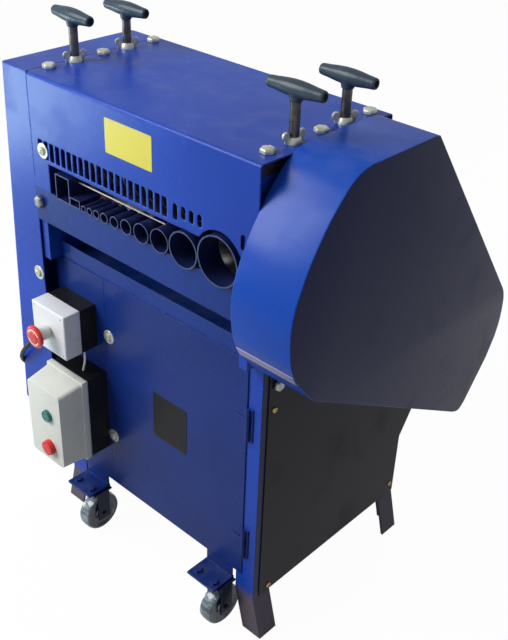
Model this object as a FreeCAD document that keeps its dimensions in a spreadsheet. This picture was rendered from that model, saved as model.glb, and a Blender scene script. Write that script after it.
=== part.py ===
import FreeCAD, Part
import math
import os
import re
from FreeCAD import Rotation, Vector

# A motor driven bench stripper for scrap cable. A boxed stand on four angle-iron feet carries two
# thick side plates. A grooved lower roller and an adjustable cutter shaft above it pull the cable in
# through one of the guide tubes and slit it, and a second pair of rollers pulls it out at the back.
#
# The pieces are drawn from the machine's own corner: x = 0 is the hood's right end, y = 0 its front
# face, z = 0 the floor, with x to the right and y to the back. Each piece is then placed so that the
# part's origin is the bottom centre of the whole machine.

doc = FreeCAD.newDocument("CableStripper")
sheet = doc.addObject("Spreadsheet::Sheet", "Sizes")

# ---------------------------------------------------------------- driving dimensions, millimetres

SIZES = [
    ("hood_width", 476, "length of the hood along x"),
    ("hood_depth", 270, "hood, front to back"),
    ("hood_top", 862, "top of the hood above the floor"),
    ("hood_wall", 2, "hood sheet"),
    ("hood_bend", 5, "outside radius of the hood's folds"),
    ("plate_thick", 16, "side plates of the roller frame"),
    ("line_right", 22, "hood's right end to the middle of the right side plate"),
    ("line_left", 9, "hood's left end to the middle of the left side plate"),
    ("bar_height", 25, "threaded bars on top of the side plates"),
    ("pair_front", 85, "hood front to the front roller pair"),
    ("pair_pitch", 105, "front roller pair to the rear pair"),
    ("bolt_inset", 36, "hood front to the first top bolt"),
    ("bolt_pitch", 105, "top bolt to top bolt"),
    ("lower_axis", 648, "height of the lower roller axes"),
    ("upper_axis", 744, "height of the upper shafts as stored"),
    ("lower_radius", 36, "lower rollers"),
    ("cutter_radius", 50, "largest slitting discs"),
    ("pull_radius", 48, "rear upper roller"),
    ("shaft_radius", 15, "roller and cutter shafts"),
    ("running_fit", 0.05, "radial clearance of a shaft in its hole"),
    ("side_gap", 0.3, "clearance beside what slides or turns"),
    ("block_width", 56, "bearing blocks along y"),
    ("block_low", 26, "bearing block below its shaft"),
    ("block_high", 34, "bearing block above its shaft"),
    ("travel_down", 8, "lowest stroke of a cutter shaft"),
    ("travel_up", 24, "highest stroke of a cutter shaft"),
    ("screw_radius", 7, "adjusting screws"),
    ("grip_low", 914, "underside of the grip's hub"),
    ("grip_top", 940, "top of the grips"),
    ("grip_length", 90, "T grips, end to end"),
    ("nut_height", 9, "wing nut body"),
    ("nut_radius", 10, "wing nut body"),
    ("bolt_radius", 5, "M10 bolts"),
    ("bolt_head", 9, "half the width across flats of the bolt heads"),
    ("head_height", 7.5, "hexagon heads"),
    ("stand_top", 548, "top plate of the stand"),
    ("stand_front", 27, "hood front to the stand's front"),
    ("stand_depth", 386, "stand, front to back"),
    ("stand_width", 471, "stand over its legs"),
    ("stand_right", 3, "hood's right end to the stand's right side"),
    ("angle_leg", 40, "width of the angle iron"),
    ("angle_wall", 4, "thickness of the angle iron"),
    ("foot_bend", 80, "height where the legs bend outwards"),
    ("foot_splay", 20, "how far the feet stand out sideways"),
    ("top_plate", 4, "thickness of the stand's top plate"),
    ("panel_wall", 2, "cabinet panels"),
    ("panel_low", 80, "underside of the side panels"),
    ("door_low", 123, "underside of the door"),
    ("door_gap", 0.8, "gap round the door"),
    ("door_right", 30, "hood's right end to the door's hinge edge"),
    ("door_width", 321, "door"),
    ("rail_height", 36, "stand rails"),
    ("floor_height", 126, "cabinet floor"),
    ("hinge_radius", 3.5, "hinge knuckles"),
    ("hinge_height", 60, "door hinges"),
    ("hinge_low", 194, "middle of the lower hinge"),
    ("hinge_high", 435, "middle of the upper hinge"),
    ("cover_side", 97, "left cover at its foot, along x"),
    ("cover_side_top", 64, "left cover at its top, along x"),
    ("cover_side_depth", 263, "left cover, front to back"),
    ("cover_side_low", 215, "underside of the left cover"),
    ("cover_wall", 1.5, "sheet of the covers"),
    ("drive_depth", 102, "drive cover, along x"),
    ("drive_top", 870, "flat top of the drive cover"),
    ("drive_back", 513, "hood front to the rear of the drive cover"),
    ("board_low", 620, "underside of the tube board"),
    ("board_high", 676, "top edge of the tube board"),
    ("board_wall", 4, "tube board"),
    ("window_top", 725, "top edge of the infeed window"),
    ("window_left", 438, "hood's right end to the window's left edge"),
    ("window_right", 29, "hood's right end to the window's right edge"),
    ("slot_low", 731, "bottom of the vent slots"),
    ("slot_high", 761, "top of the vent slots"),
    ("slot_pitch", 14, "slot to slot"),
    ("slot_width", 10, "square ended vent slots"),
    ("pill_width", 9, "round ended vent slots"),
    ("slot_count", 21, "square ended slots in the row"),
    ("tube_length", 36, "guide tubes, front to back"),
    ("tube_wall", 2.2, "the two large guide tubes"),
    ("thin_wall", 1.4, "the small guide tubes"),
    ("lip_low", 551, "underside of the chute lip"),
    ("lip_high", 577, "top of the chute lip"),
    ("gear_module", 2.5, "roller gears"),
    ("roller_teeth", 36, "gear on each lower roller"),
    ("pinion_teeth", 24, "pinion on the drive shaft"),
    ("gear_width", 18, "face width of the gears"),
    ("gear_backlash", 0.3, "play between the teeth"),
    ("pulley_radius", 84, "belt line of the big pulley"),
    ("small_pulley", 38, "belt line of the motor pulley"),
    ("pulley_width", 20, "both pulleys"),
    ("pulley_place", 36, "hood's right end to the pulleys"),
    ("belt_width", 10, "belt"),
    ("belt_thick", 6, "belt"),
    ("drive_radius", 12, "drive shaft"),
    ("motor_axis_y", 398, "motor axis behind the hood front"),
    ("motor_axis_z", 452, "motor axis above the floor"),
    ("motor_radius", 54, "motor body"),
    ("motor_length", 190, "motor body"),
    ("motor_shaft", 10, "motor shaft"),
    ("housing_depth", 88, "rear motor housing behind the stand"),
    ("housing_low", 204, "where the housing's sloping floor starts"),
    ("housing_rise", 142, "rise of that floor to the back"),
    ("housing_width", 330, "rear motor housing"),
    ("wheel_radius", 37.5, "casters"),
    ("wheel_width", 26, "casters"),
    ("wheel_lift", 3, "caster above the floor as the machine stands on its feet"),
    ("flange_height", 98, "top of the caster flange"),
    ("flange_width", 62, "caster flange along x"),
    ("flange_reach", 45, "caster flange in front of the stand"),
    ("caster_right", 82, "hood's right end to the right caster"),
    ("caster_pitch", 320, "caster to caster"),
    ("caster_offset", 18, "wheel to the right of its flange"),
    ("stop_left", 460, "hood's right end to the stop box's left side"),
    ("stop_width", 85, "stop box"),
    ("stop_low", 407, "underside of the stop box"),
    ("stop_height", 84, "stop box"),
    ("stop_front", 41, "stop box face in front of the hood"),
    ("stop_split", 7, "joint of the stop box in front of the hood"),
    ("mushroom_radius", 20, "emergency stop button"),
    ("mushroom_reach", 74, "front of the emergency stop, before the hood front"),
    ("starter_left", 450, "hood's right end to the starter's left side"),
    ("starter_width", 96, "starter box"),
    ("starter_low", 202, "underside of the starter box"),
    ("starter_height", 164, "starter box"),
    ("starter_front", 75, "starter face in front of the hood"),
    ("starter_rim", 30, "front of the straight rim"),
    ("starter_split", 17, "joint of the starter box"),
    ("starter_side_slope", 5, "slope of the cover's sides"),
    ("starter_top_slope", 11, "slope of the cover's top"),
    ("starter_foot_slope", 3, "slope of the cover's underside"),
    ("button_radius", 11, "start button"),
    ("button_reach", 6, "start button out of the cover"),
    ("off_radius", 14, "off button"),
    ("off_reach", 10, "off button out of the cover"),
    ("press_travel", 4, "stroke of the buttons"),
    ("lead_radius", 4, "mains lead"),
    ("coil_middle", 92, "coil of the spare lead across the middle of its turns"),
    ("coil_turns", 3, "turns in the coil"),
]

for row, (alias, size, note) in enumerate(SIZES, start=1):
    sheet.set(f"A{row}", alias)
    sheet.set(f"B{row}", str(size))
    sheet.set(f"C{row}", note)
    sheet.setAlias(f"B{row}", alias)
names = {alias for alias, size, note in SIZES}
size_of = {alias: float(size) for alias, size, note in SIZES}

# lengths that follow from the driving ones
DERIVED = [
    ("rear_pair", "pair_front + pair_pitch"),
    ("plate_base", "stand_top"),
    ("bar_top", "hood_top - hood_wall"),
    ("plate_top", "hood_top - hood_wall - bar_height"),
    ("right_mid", "0 - line_right"),
    ("left_mid", "line_left - hood_width"),
    ("stand_east", "0 - stand_right"),
    ("stand_west", "0 - stand_right - stand_width"),
    ("stand_rear", "stand_front + stand_depth"),
    ("leg_top", "stand_top - top_plate"),
    ("door_east", "0 - door_right"),
    ("door_west", "0 - door_right - door_width"),
    ("gear_reach", "gear_module * (roller_teeth + pinion_teeth) / 2"),
    ("drive_y", "pair_front + pair_pitch / 2"),
    ("drive_z", "lower_axis - sqrt(gear_reach * gear_reach - pair_pitch * pair_pitch / 4)"),
    ("cover_west", "0 - hood_width - cover_side"),
    ("machine_back", "stand_front + stand_depth + housing_depth"),
    ("centre_x", "(drive_depth + cover_west) / 2"),
    ("centre_y", "(drive_back - starter_front - off_reach) / 2"),
    ("wheel_z", "wheel_radius + wheel_lift"),
    ("wheel_y", "stand_front - 15.5"),
    ("rail_front_foot", "floor_height"),
]

WORD = re.compile(r"[a-z][a-z_]*[a-z]")


def in_sheet(text):
    """Puts the sheet's name in front of each alias in an expression."""
    return WORD.sub(lambda word: "Sizes." + word.group(0) if word.group(0) in names else word.group(0),
                    str(text))


first_derived = len(SIZES) + 2
for row, (alias, formula) in enumerate(DERIVED, start=first_derived):
    sheet.set(f"A{row}", alias)
    sheet.set(f"B{row}", "=" + formula)
    sheet.setAlias(f"B{row}", alias)
    names.add(alias)
doc.recompute()
for alias, formula in DERIVED:
    size_of[alias] = float(sheet.get(alias))


def amount(text):
    """The number that an expression on the sheet's names stands for."""
    total = doc.getObject("Scratch") or doc.addObject("App::FeaturePython", "Scratch")
    if not hasattr(total, "Amount"):
        total.addProperty("App::PropertyFloat", "Amount")
    total.setExpression("Amount", in_sheet(text))
    total.recompute()
    return total.Amount


# ---------------------------------------------------------------- small construction helpers

def bind(thing, prop, text):
    thing.setExpression(prop, in_sheet(text))


def new(kind, name):
    return doc.addObject(kind, name)


def block(name, x, y, z):
    """A box between two faces on each axis, each face an expression on the sheet."""
    box = new("Part::Box", name)
    for prop, axis, (low, high) in (("Length", "x", x), ("Width", "y", y), ("Height", "z", z)):
        bind(box, prop, f"({high}) - ({low})")
        bind(box, "Placement.Base." + axis, low)
    return box


TURN = {"x": Rotation(Vector(0, 1, 0), 90), "y": Rotation(Vector(1, 0, 0), -90), "z": Rotation()}


def rod(name, axis, start, radius, length):
    """A cylinder from start = (x, y, z) along +axis."""
    bar = new("Part::Cylinder", name)
    bind(bar, "Radius", radius)
    bind(bar, "Height", length)
    bar.Placement.Rotation = TURN[axis]
    for letter, place in zip("xyz", start):
        bind(bar, "Placement.Base." + letter, place)
    return bar


def hexagon(name, axis, start, half_flats, height):
    """A hexagonal head from start along +axis."""
    head = new("Part::Prism", name)
    head.Polygon = 6
    bind(head, "Circumradius", f"({half_flats}) / cos(30 deg)")
    bind(head, "Height", height)
    head.Placement.Rotation = TURN[axis]
    for letter, place in zip("xyz", start):
        bind(head, "Placement.Base." + letter, place)
    return head


def joined(name, pieces):
    if len(pieces) == 1:
        return pieces[0]
    both = new("Part::MultiFuse", name)
    both.Shapes = pieces
    both.Refine = True
    return both


def cut(name, solid, tools):
    taken = new("Part::Cut", name)
    taken.Base = solid
    taken.Tool = joined(name + "_tools", tools)
    return taken


def group(name, solids):
    both = new("Part::Compound", name)
    both.Links = solids
    return both


def drawn(name, shape):
    """A shape made with Part's own functions, for profiles that no primitive has."""
    feature = new("Part::Feature", name)
    feature.Shape = shape
    return feature


def prism(points, x_low, x_high):
    """A closed outline of (y, z) points, drawn out along x."""
    wire = Part.makePolygon([Vector(x_low, y, z) for y, z in points + points[:1]])
    return Part.Face(wire).extrude(Vector(x_high - x_low, 0, 0))


nodes = []


def node(label, thing):
    """Names a sub-part and moves it from the machine's corner to the part's origin."""
    thing.Label = label
    bound = dict(thing.ExpressionEngine)
    for axis, centre in (("x", "centre_x"), ("y", "centre_y")):
        prop = "Placement.Base." + axis
        start = bound.get("." + prop, bound.get(prop, "0"))
        thing.setExpression(prop, f"({start}) - Sizes.{centre}")
    nodes.append(thing)
    return thing


MIDS = {"right": "right_mid", "left": "left_mid"}
PAIRS = {"front": "pair_front", "rear": "rear_pair"}

# ---------------------------------------------------------------- guide tubes: place and size

# centre of each round guide tube: (distance left of the hood's right end, height, outer radius)
ROUND_TUBES = [
    (68.3, 703.0, 38.0),
    (134.7, 694.5, 28.2),
    (183.1, 690.4, 18.8),
    (221.7, 687.8, 15.9),
    (254.7, 686.0, 12.0),
    (281.0, 683.7, 9.5),
    (304.0, 682.5, 8.5),
    (322.0, 682.4, 7.2),
    (337.8, 681.4, 6.2),
    (352.2, 680.6, 5.4),
]
LARGE_TUBES = 2
TALL_TUBE = ((-418.0, -385.0), (676.0, 718.0))
LOW_TUBE = ((-384.5, -360.5), (676.0, 690.0))


def round_tube(number, place):
    x, z, radius = place
    outer = rod(f"tube_outer_{number}", "y", (-x, "0 - board_wall", z), radius, "tube_length + board_wall")
    wall_name = "tube_wall" if number < LARGE_TUBES else "thin_wall"
    bore = rod(f"tube_bore_{number}", "y", (-x, "0 - board_wall - 1", z), f"{radius} - {wall_name}",
               "tube_length + board_wall + 2")
    return cut(f"tube_{number}", outer, [bore])


def flat_tube(name, x, z):
    outer = block(name + "_outer", x, ("0 - board_wall", "tube_length"), z)
    bore = block(name + "_bore", (f"{x[0]} + thin_wall", f"{x[1]} - thin_wall"),
                 ("0 - board_wall - 1", "tube_length + 1"), (f"{z[0]} + thin_wall", f"{z[1]} - thin_wall"))
    return cut(name, outer, [bore])


tubes = [round_tube(number, place) for number, place in enumerate(ROUND_TUBES)]
node("large_guide_tubes", group("LargeTubes", tubes[:LARGE_TUBES]))
node("small_guide_tubes", group("SmallTubes", tubes[LARGE_TUBES:] + [
    flat_tube("tall_tube", *TALL_TUBE),
    flat_tube("low_tube", *LOW_TUBE),
]))

# ---------------------------------------------------------------- tube board under the window

board_plate = block("board_plate", ("0 - hood_width", "0 - 4"), (0, "board_wall"),
                    ("board_low", "board_high"))
board_seats = [
    rod(f"seat_{number}", "y", (-x, "0 - board_wall", z), f"{radius} + 0.05", "3 * board_wall")
    for number, (x, z, radius) in enumerate(ROUND_TUBES)
]
board_bolt_holes = [
    rod(f"board_hole_{side}", "y", (mid, "0 - board_wall", "board_low + 33"), "bolt_radius + 0.5",
        "3 * board_wall")
    for side, mid in MIDS.items()
]
node("tube_board", cut("TubeBoard", board_plate, board_seats + board_bolt_holes))

# ---------------------------------------------------------------- side plates and threaded bars

def side_plate(side, mid):
    low = f"{mid} - plate_thick / 2"
    high = f"{mid} + plate_thick / 2"
    body = block(f"{side}_plate_body", (low, high), ("board_wall", "hood_depth - hood_wall"),
                 ("plate_base", "plate_top"))
    tools = []
    for pair, y in PAIRS.items():
        tools.append(block(f"{side}_{pair}_window", (f"{low} - 1", f"{high} + 1"),
                           (f"{y} - block_width / 2", f"{y} + block_width / 2"),
                           ("upper_axis - block_low - travel_down - 2", "plate_top + 1")))
        tools.append(rod(f"{side}_{pair}_bore", "x", (f"{low} - 1", y, "lower_axis"),
                         "shaft_radius + running_fit", "plate_thick + 2"))
    tools.append(rod(f"{side}_drive_bore", "x", (f"{low} - 1", "drive_y", "drive_z"),
                     "drive_radius + running_fit", "plate_thick + 2"))
    for number in range(3):
        tools.append(rod(f"{side}_plate_tap_{number}", "z",
                         (mid, f"bolt_inset + {number} * bolt_pitch", "plate_top - 15"),
                         "bolt_radius + running_fit", 20))
    tools.append(rod(f"{side}_front_tap", "y", (mid, 0, "board_low + 33"), "bolt_radius + running_fit", 18))
    return cut(f"{side}_plate", body, tools)


def threaded_bar(side, mid):
    body = block(f"{side}_bar_body", (f"{mid} - plate_thick / 2", f"{mid} + plate_thick / 2"),
                 ("hood_bend + 1", "hood_depth - hood_bend - 1"), ("plate_top", "bar_top"))
    tools = [
        rod(f"{side}_{pair}_thread", "z", (mid, y, "plate_top - 1"), "screw_radius + running_fit",
            "bar_height + 2")
        for pair, y in PAIRS.items()
    ]
    tools += [
        rod(f"{side}_bar_hole_{number}", "z", (mid, f"bolt_inset + {number} * bolt_pitch", "plate_top - 1"),
            "bolt_radius + running_fit", "bar_height + 2")
        for number in range(3)
    ]
    return cut(f"{side}_bar", body, tools)


for side, mid in MIDS.items():
    node(f"{side}_side_plate", side_plate(side, mid))
node("screw_bars", group("ScrewBars", [threaded_bar(side, mid) for side, mid in MIDS.items()]))

# ---------------------------------------------------------------- hood: folded sheet, slots, window

def hood_section(inset):
    """The hood's section, front, top and back, drawn inwards by inset from its outer face."""
    depth = size_of["hood_depth"]
    top = size_of["hood_top"]
    bottom = size_of["board_high"]
    radius = size_of["hood_bend"] - inset
    left_corner = Vector(0, inset + radius, top - inset - radius)
    right_corner = Vector(0, depth - inset - radius, top - inset - radius)
    slant = radius * math.sqrt(0.5)
    points = [
        Vector(0, inset, bottom),
        Vector(0, inset, left_corner.z),
        left_corner + Vector(0, -slant, slant),
        Vector(0, left_corner.y, top - inset),
        Vector(0, right_corner.y, top - inset),
        right_corner + Vector(0, slant, slant),
        Vector(0, depth - inset, right_corner.z),
        Vector(0, depth - inset, bottom),
    ]
    edges = [
        Part.LineSegment(points[0], points[1]),
        Part.Arc(points[1], points[2], points[3]),
        Part.LineSegment(points[3], points[4]),
        Part.Arc(points[4], points[5], points[6]),
        Part.LineSegment(points[6], points[7]),
        Part.LineSegment(points[7], points[0]),
    ]
    return Part.Face(Part.Wire([edge.toShape() for edge in edges]))


hood_length = Vector(-size_of["hood_width"], 0, 0)
hood_sheet = drawn("hood_sheet", hood_section(0).extrude(hood_length).cut(
    hood_section(size_of["hood_wall"]).extrude(hood_length)))


def square_slot(name, x):
    """A slot with square ends whose corners are a little round."""
    across = (f"{x} - slot_width / 2", f"{x} + slot_width / 2")
    body = block(name + "_body", across, ("0 - 2", "hood_wall + 2"), ("slot_low", "slot_high"))
    doc.recompute()
    softened = new("Part::Fillet", name)
    softened.Base = body
    softened.Edges = [(number, 2.0, 2.0) for number, edge in enumerate(body.Shape.Edges, start=1)
                      if abs(edge.Vertexes[0].Y - edge.Vertexes[1].Y) > 1]
    return softened


def pill_slot(name, x, low, high):
    y = ("0 - 2", "hood_wall + 2")
    middle = block(name + "_middle", (f"{x} - pill_width / 2", f"{x} + pill_width / 2"), y,
                   (f"{low} + pill_width / 2", f"{high} - pill_width / 2"))
    ends = [
        rod(f"{name}_{end}", "y", (x, "0 - 2", z), "pill_width / 2", "hood_wall + 4")
        for end, z in (("foot", f"{low} + pill_width / 2"), ("head", f"{high} - pill_width / 2"))
    ]
    return joined(name, [middle] + ends)


slot_tools = [
    square_slot(f"slot_{number}", f"{number} * slot_pitch - window_left - 17")
    for number in range(int(size_of["slot_count"]))
]
slot_tools.append(pill_slot("slot_tall", "0 - 153.5", "slot_low + 2", "slot_high - 3"))
for number, x in enumerate((137.3, 121.8, 105.9)):
    slot_tools.append(pill_slot(f"slot_short_{number}", f"0 - {x}", "slot_low + 8", "slot_high - 3"))
slot_tools.append(pill_slot("slot_end", "0 - 25", "slot_low + 4", "slot_high - 3"))

big_x, big_z, big_radius = ROUND_TUBES[0]
next_x, next_z, next_radius = ROUND_TUBES[1]
window_tools = [
    block("window", ("0 - window_left", "0 - window_right"), ("0 - 2", "hood_wall + 2"),
          ("board_high - 1", "window_top")),
    rod("window_arch", "y", (-big_x, "0 - 2", big_z), f"{big_radius} + 6", "hood_wall + 4"),
    rod("window_arch_small", "y", (-next_x, "0 - 2", next_z), f"{next_radius} + 3", "hood_wall + 4"),
]
back_window = block("back_window", ("0 - window_left", "0 - 50"),
                    ("hood_depth - hood_wall - 2", "hood_depth + 2"), ("board_high - 1", "window_top"))
hood_holes = []
for side, mid in MIDS.items():
    for number in range(3):
        hood_holes.append(rod(f"hood_{side}_hole_{number}", "z",
                              (mid, f"bolt_inset + {number} * bolt_pitch", "bar_top - 2"),
                              "bolt_radius + 0.5", "hood_wall + 4"))
    for pair, y in PAIRS.items():
        hood_holes.append(rod(f"hood_{side}_{pair}_hole", "z", (mid, y, "bar_top - 2"),
                              "screw_radius + 0.6", "hood_wall + 4"))
node("hood", cut("Hood", hood_sheet, slot_tools + window_tools + [back_window] + hood_holes))


def hex_bolt(name, x, y, z, shank):
    """A hexagon bolt standing on z, its shank reaching down."""
    head = hexagon(name + "_head", "z", (x, y, z), "bolt_head", "head_height")
    stem = rod(name + "_shank", "z", (x, y, f"{z} - ({shank})"), "bolt_radius", shank)
    return joined(name, [head, stem])


node("hood_bolts", group("HoodBolts", [
    hex_bolt(f"hood_bolt_{side}_{number}", mid, f"bolt_inset + {number} * bolt_pitch", "hood_top",
             "hood_wall + bar_height + 12")
    for side, mid in MIDS.items()
    for number in range(3)
]))

# ---------------------------------------------------------------- adjusting screws and wing nuts

def t_handle(side, mid, pair, y):
    """A screw that rests in the bearing block, with its moulded T grip."""
    name = f"{pair}_{side}_screw"
    foot = "upper_axis + block_high"
    stem = rod(name, "z", (mid, y, foot), "screw_radius", f"grip_low - ({foot})")
    hub = rod(name + "_hub", "z", (mid, y, "grip_low"), "screw_radius + 3", "grip_top - grip_low - 8")
    grip = new("Part::Ellipsoid", name + "_grip")
    bind(grip, "Radius1", 11)
    bind(grip, "Radius2", "grip_length / 2")
    bind(grip, "Radius3", 10)
    bind(grip, "Placement.Base.x", mid)
    bind(grip, "Placement.Base.y", y)
    bind(grip, "Placement.Base.z", "grip_top - 11")
    limit = block(name + "_limit", (f"{mid} - grip_length / 2 + 6", f"{mid} + grip_length / 2 - 6"),
                  (f"{y} - 20", f"{y} + 20"), ("grip_top - 30", "grip_top + 10"))
    bar = new("Part::Common", name + "_bar")
    bar.Base = grip
    bar.Tool = limit
    return joined(name + "_whole", [stem, hub, bar])


def wing_nut(side, mid, pair, y):
    name = f"{pair}_{side}_nut"
    body = rod(name, "z", (mid, y, "hood_top"), "nut_radius", "nut_height")
    wings = []
    for number, way in enumerate((-1, 1)):
        wing = new("Part::Wedge", f"{name}_wing_{number}")
        wing.Xmin, wing.Xmax, wing.X2min, wing.X2max = 0, 9, 3, 15
        wing.Ymin, wing.Ymax = 0, 18
        wing.Zmin, wing.Zmax, wing.Z2min, wing.Z2max = 0, 3, 0, 3
        upright = Rotation(Vector(1, 0, 0), 90)
        wing.Placement.Rotation = Rotation(Vector(0, 0, 1), 0 if way > 0 else 180) * upright
        bind(wing, "Placement.Base.x", f"{mid} + {way} * (nut_radius - 2)")
        bind(wing, "Placement.Base.y", f"{y} + {way} * 1.5")
        bind(wing, "Placement.Base.z", "hood_top + 3")
        wings.append(wing)
    bore = rod(name + "_bore", "z", (mid, y, "hood_top - 1"), "screw_radius + running_fit", "nut_height + 2")
    return cut(name + "_whole", joined(name + "_body", [body] + wings), [bore])


for pair, y in PAIRS.items():
    for side, mid in MIDS.items():
        node(f"{pair}_{side}_handle", t_handle(side, mid, pair, y))
        node(f"{pair}_{side}_wing_nut", wing_nut(side, mid, pair, y))

# ---------------------------------------------------------------- rollers, cutters, bearing blocks

inner_low = "left_mid + plate_thick / 2 + side_gap"
inner_high = "right_mid - plate_thick / 2 - side_gap"
shaft_start = "left_mid - plate_thick / 2 - 14"


def bearing_block(side, mid, pair, y):
    body = block(f"{pair}_{side}_block_body", (f"{mid} - plate_thick / 2", f"{mid} + plate_thick / 2"),
                 (f"{y} - block_width / 2 + side_gap / 6", f"{y} + block_width / 2 - side_gap / 6"),
                 ("upper_axis - block_low", "upper_axis + block_high"))
    bore = rod(f"{pair}_{side}_block_bore", "x", (f"{mid} - plate_thick / 2 - 1", y, "upper_axis"),
               "shaft_radius + running_fit", "plate_thick + 2")
    return cut(f"{pair}_{side}_block", body, [bore])


for pair, y in PAIRS.items():
    node(f"{pair}_bearing_blocks", group(f"{pair}_blocks", [
        bearing_block(side, mid, pair, y) for side, mid in MIDS.items()
    ]))


def through_shaft(name, y, z, radius, end):
    return rod(name, "x", (shaft_start, y, z), radius, f"({end}) - ({shaft_start})")


upper_end = "right_mid + plate_thick / 2 + 8"
cutter_pieces = [
    through_shaft("cutter_rod", "pair_front", "upper_axis", "shaft_radius", upper_end),
    rod("cutter_collar_left", "x", (inner_low, "pair_front", "upper_axis"), "shaft_radius + 6", 10),
    rod("cutter_collar_right", "x", (f"{inner_high} - 10", "pair_front", "upper_axis"),
        "shaft_radius + 6", 10),
]
for number, (x, z, radius) in enumerate(ROUND_TUBES):
    reach = min(size_of["cutter_radius"], size_of["upper_axis"] - z - 0.3 * radius)
    cutter_pieces.append(rod(f"cutter_{number}", "x", (-x - 1.5, "pair_front", "upper_axis"), reach, 3))
    cutter_pieces.append(rod(f"cutter_hub_{number}", "x", (-x - 4, "pair_front", "upper_axis"),
                             "shaft_radius + 5", 8))
for number, x in enumerate((372.5, 401.0)):
    cutter_pieces.append(rod(f"flat_cutter_{number}", "x", (-x - 1.5, "pair_front", "upper_axis"),
                             "cutter_radius", 3))
    cutter_pieces.append(rod(f"flat_cutter_hub_{number}", "x", (-x - 4, "pair_front", "upper_axis"),
                             "shaft_radius + 5", 8))
node("cutter_shaft", joined("CutterShaft", cutter_pieces))

node("rear_upper_roller", joined("RearUpperRoller", [
    through_shaft("rear_upper_shaft", "rear_pair", "upper_axis", "shaft_radius", upper_end),
    rod("rear_upper_barrel", "x", (inner_low, "rear_pair", "upper_axis"), "pull_radius",
        f"({inner_high}) - ({inner_low})"),
]))

gear_start = "right_mid + plate_thick / 2 + 2"


def gear_profile(teeth, first_tooth):
    """Involute tooth outline round the origin of the y-z plane, one tooth pointing at first_tooth."""
    module = size_of["gear_module"]
    pitch = module * teeth / 2
    base = pitch * math.cos(math.radians(20))
    tip = pitch + 0.9 * module
    root = pitch - 1.25 * module
    involute = math.tan(math.radians(20)) - math.radians(20)
    half_at_pitch = math.pi / (2 * teeth) - size_of["gear_backlash"] / (2 * pitch)
    start = max(base, root + 0.2)
    radii = [start + (tip - start) * step / 4 for step in range(5)]
    points = []
    for number in range(teeth):
        middle = math.radians(first_tooth) + 2 * math.pi * number / teeth
        halves = []
        for radius in radii:
            lean = math.acos(min(1.0, base / radius))
            halves.append(half_at_pitch + involute - (math.tan(lean) - lean))
        flank = [(root, -halves[0])] + [(radius, -half) for radius, half in zip(radii, halves)]
        flank += [(radius, half) for radius, half in zip(reversed(radii), reversed(halves))]
        flank.append((root, halves[0]))
        points += [(radius * math.cos(middle + turn), radius * math.sin(middle + turn))
                   for radius, turn in flank]
    return points


def gear(name, teeth, first_tooth, y, z):
    wheel = drawn(name, prism(gear_profile(int(size_of[teeth]), first_tooth), 0, size_of["gear_width"]))
    for axis, place in (("x", gear_start), ("y", y), ("z", z)):
        bind(wheel, "Placement.Base." + axis, place)
    return wheel


rise = size_of["lower_axis"] - size_of["drive_z"]
reach = size_of["pair_pitch"] / 2
to_rear = math.degrees(math.atan2(rise, reach))
to_front = 180 - to_rear
pinion_step = 360 / size_of["pinion_teeth"]
roller_step = 360 / size_of["roller_teeth"]


def meshing_tooth(direction):
    """Where the roller gear's first tooth points, so that its gaps take the pinion's teeth."""
    ahead = (to_rear - direction) % pinion_step
    gap = direction + 180 - ahead * size_of["pinion_teeth"] / size_of["roller_teeth"]
    return gap + roller_step / 2


def lower_roller(pair, y, direction, barrel):
    end = f"{gear_start} + gear_width + 2"
    shaft = through_shaft(f"{pair}_lower_shaft", y, "lower_axis", "shaft_radius", end)
    wheel = gear(f"{pair}_gear", "roller_teeth", meshing_tooth(direction), y, "lower_axis")
    return joined(f"{pair}_lower", [shaft, barrel, wheel])


front_barrel = rod("front_barrel", "x", (inner_low, "pair_front", "lower_axis"), "lower_radius",
                   f"({inner_high}) - ({inner_low})")
grooves = []
for number, (x, z, radius) in enumerate(ROUND_TUBES):
    ring = new("Part::Torus", f"groove_{number}")
    bind(ring, "Radius1", f"lower_radius + {0.25 * radius}")
    bind(ring, "Radius2", f"{0.62 * radius}")
    ring.Placement.Rotation = TURN["x"]
    bind(ring, "Placement.Base.x", -x)
    bind(ring, "Placement.Base.y", "pair_front")
    bind(ring, "Placement.Base.z", "lower_axis")
    grooves.append(ring)
node("front_lower_roller", lower_roller("front", "pair_front", to_front,
                                        cut("grooved_barrel", front_barrel, grooves)))
rear_barrel = rod("rear_barrel", "x", (inner_low, "rear_pair", "lower_axis"), "lower_radius",
                  f"({inner_high}) - ({inner_low})")
node("rear_lower_roller", lower_roller("rear", "rear_pair", to_rear, rear_barrel))

# ---------------------------------------------------------------- drive: pinion shaft, pulleys, belt

pulley_end = "pulley_place + pulley_width"
node("drive_shaft", joined("DriveShaft", [
    through_shaft("drive_rod", "drive_y", "drive_z", "drive_radius", f"{pulley_end} + 4"),
    gear("drive_pinion", "pinion_teeth", to_rear, "drive_y", "drive_z"),
]))


def pulley(name, y, z, belt_line, shaft):
    """A grooved wheel bored for its shaft."""
    rim = rod(name, "x", ("pulley_place", y, z), f"{belt_line} + belt_thick / 2 + 2", "pulley_width")
    groove_side = "pulley_place + (pulley_width - belt_width) / 2 - 0.3"
    groove_rim = rod(name + "_groove_rim", "x", (groove_side, y, z),
                     f"{belt_line} + belt_thick", "belt_width + 0.6")
    groove_floor = rod(name + "_groove_floor", "x", ("pulley_place - 1", y, z),
                       f"{belt_line} - belt_thick / 2 - 0.3", "pulley_width + 2")
    bore = rod(name + "_bore", "x", ("pulley_place - 2", y, z), shaft, "pulley_width + 4")
    groove = cut(name + "_groove", groove_rim, [groove_floor])
    return cut(name + "_bored", cut(name + "_grooved", rim, [groove]), [bore])


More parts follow.
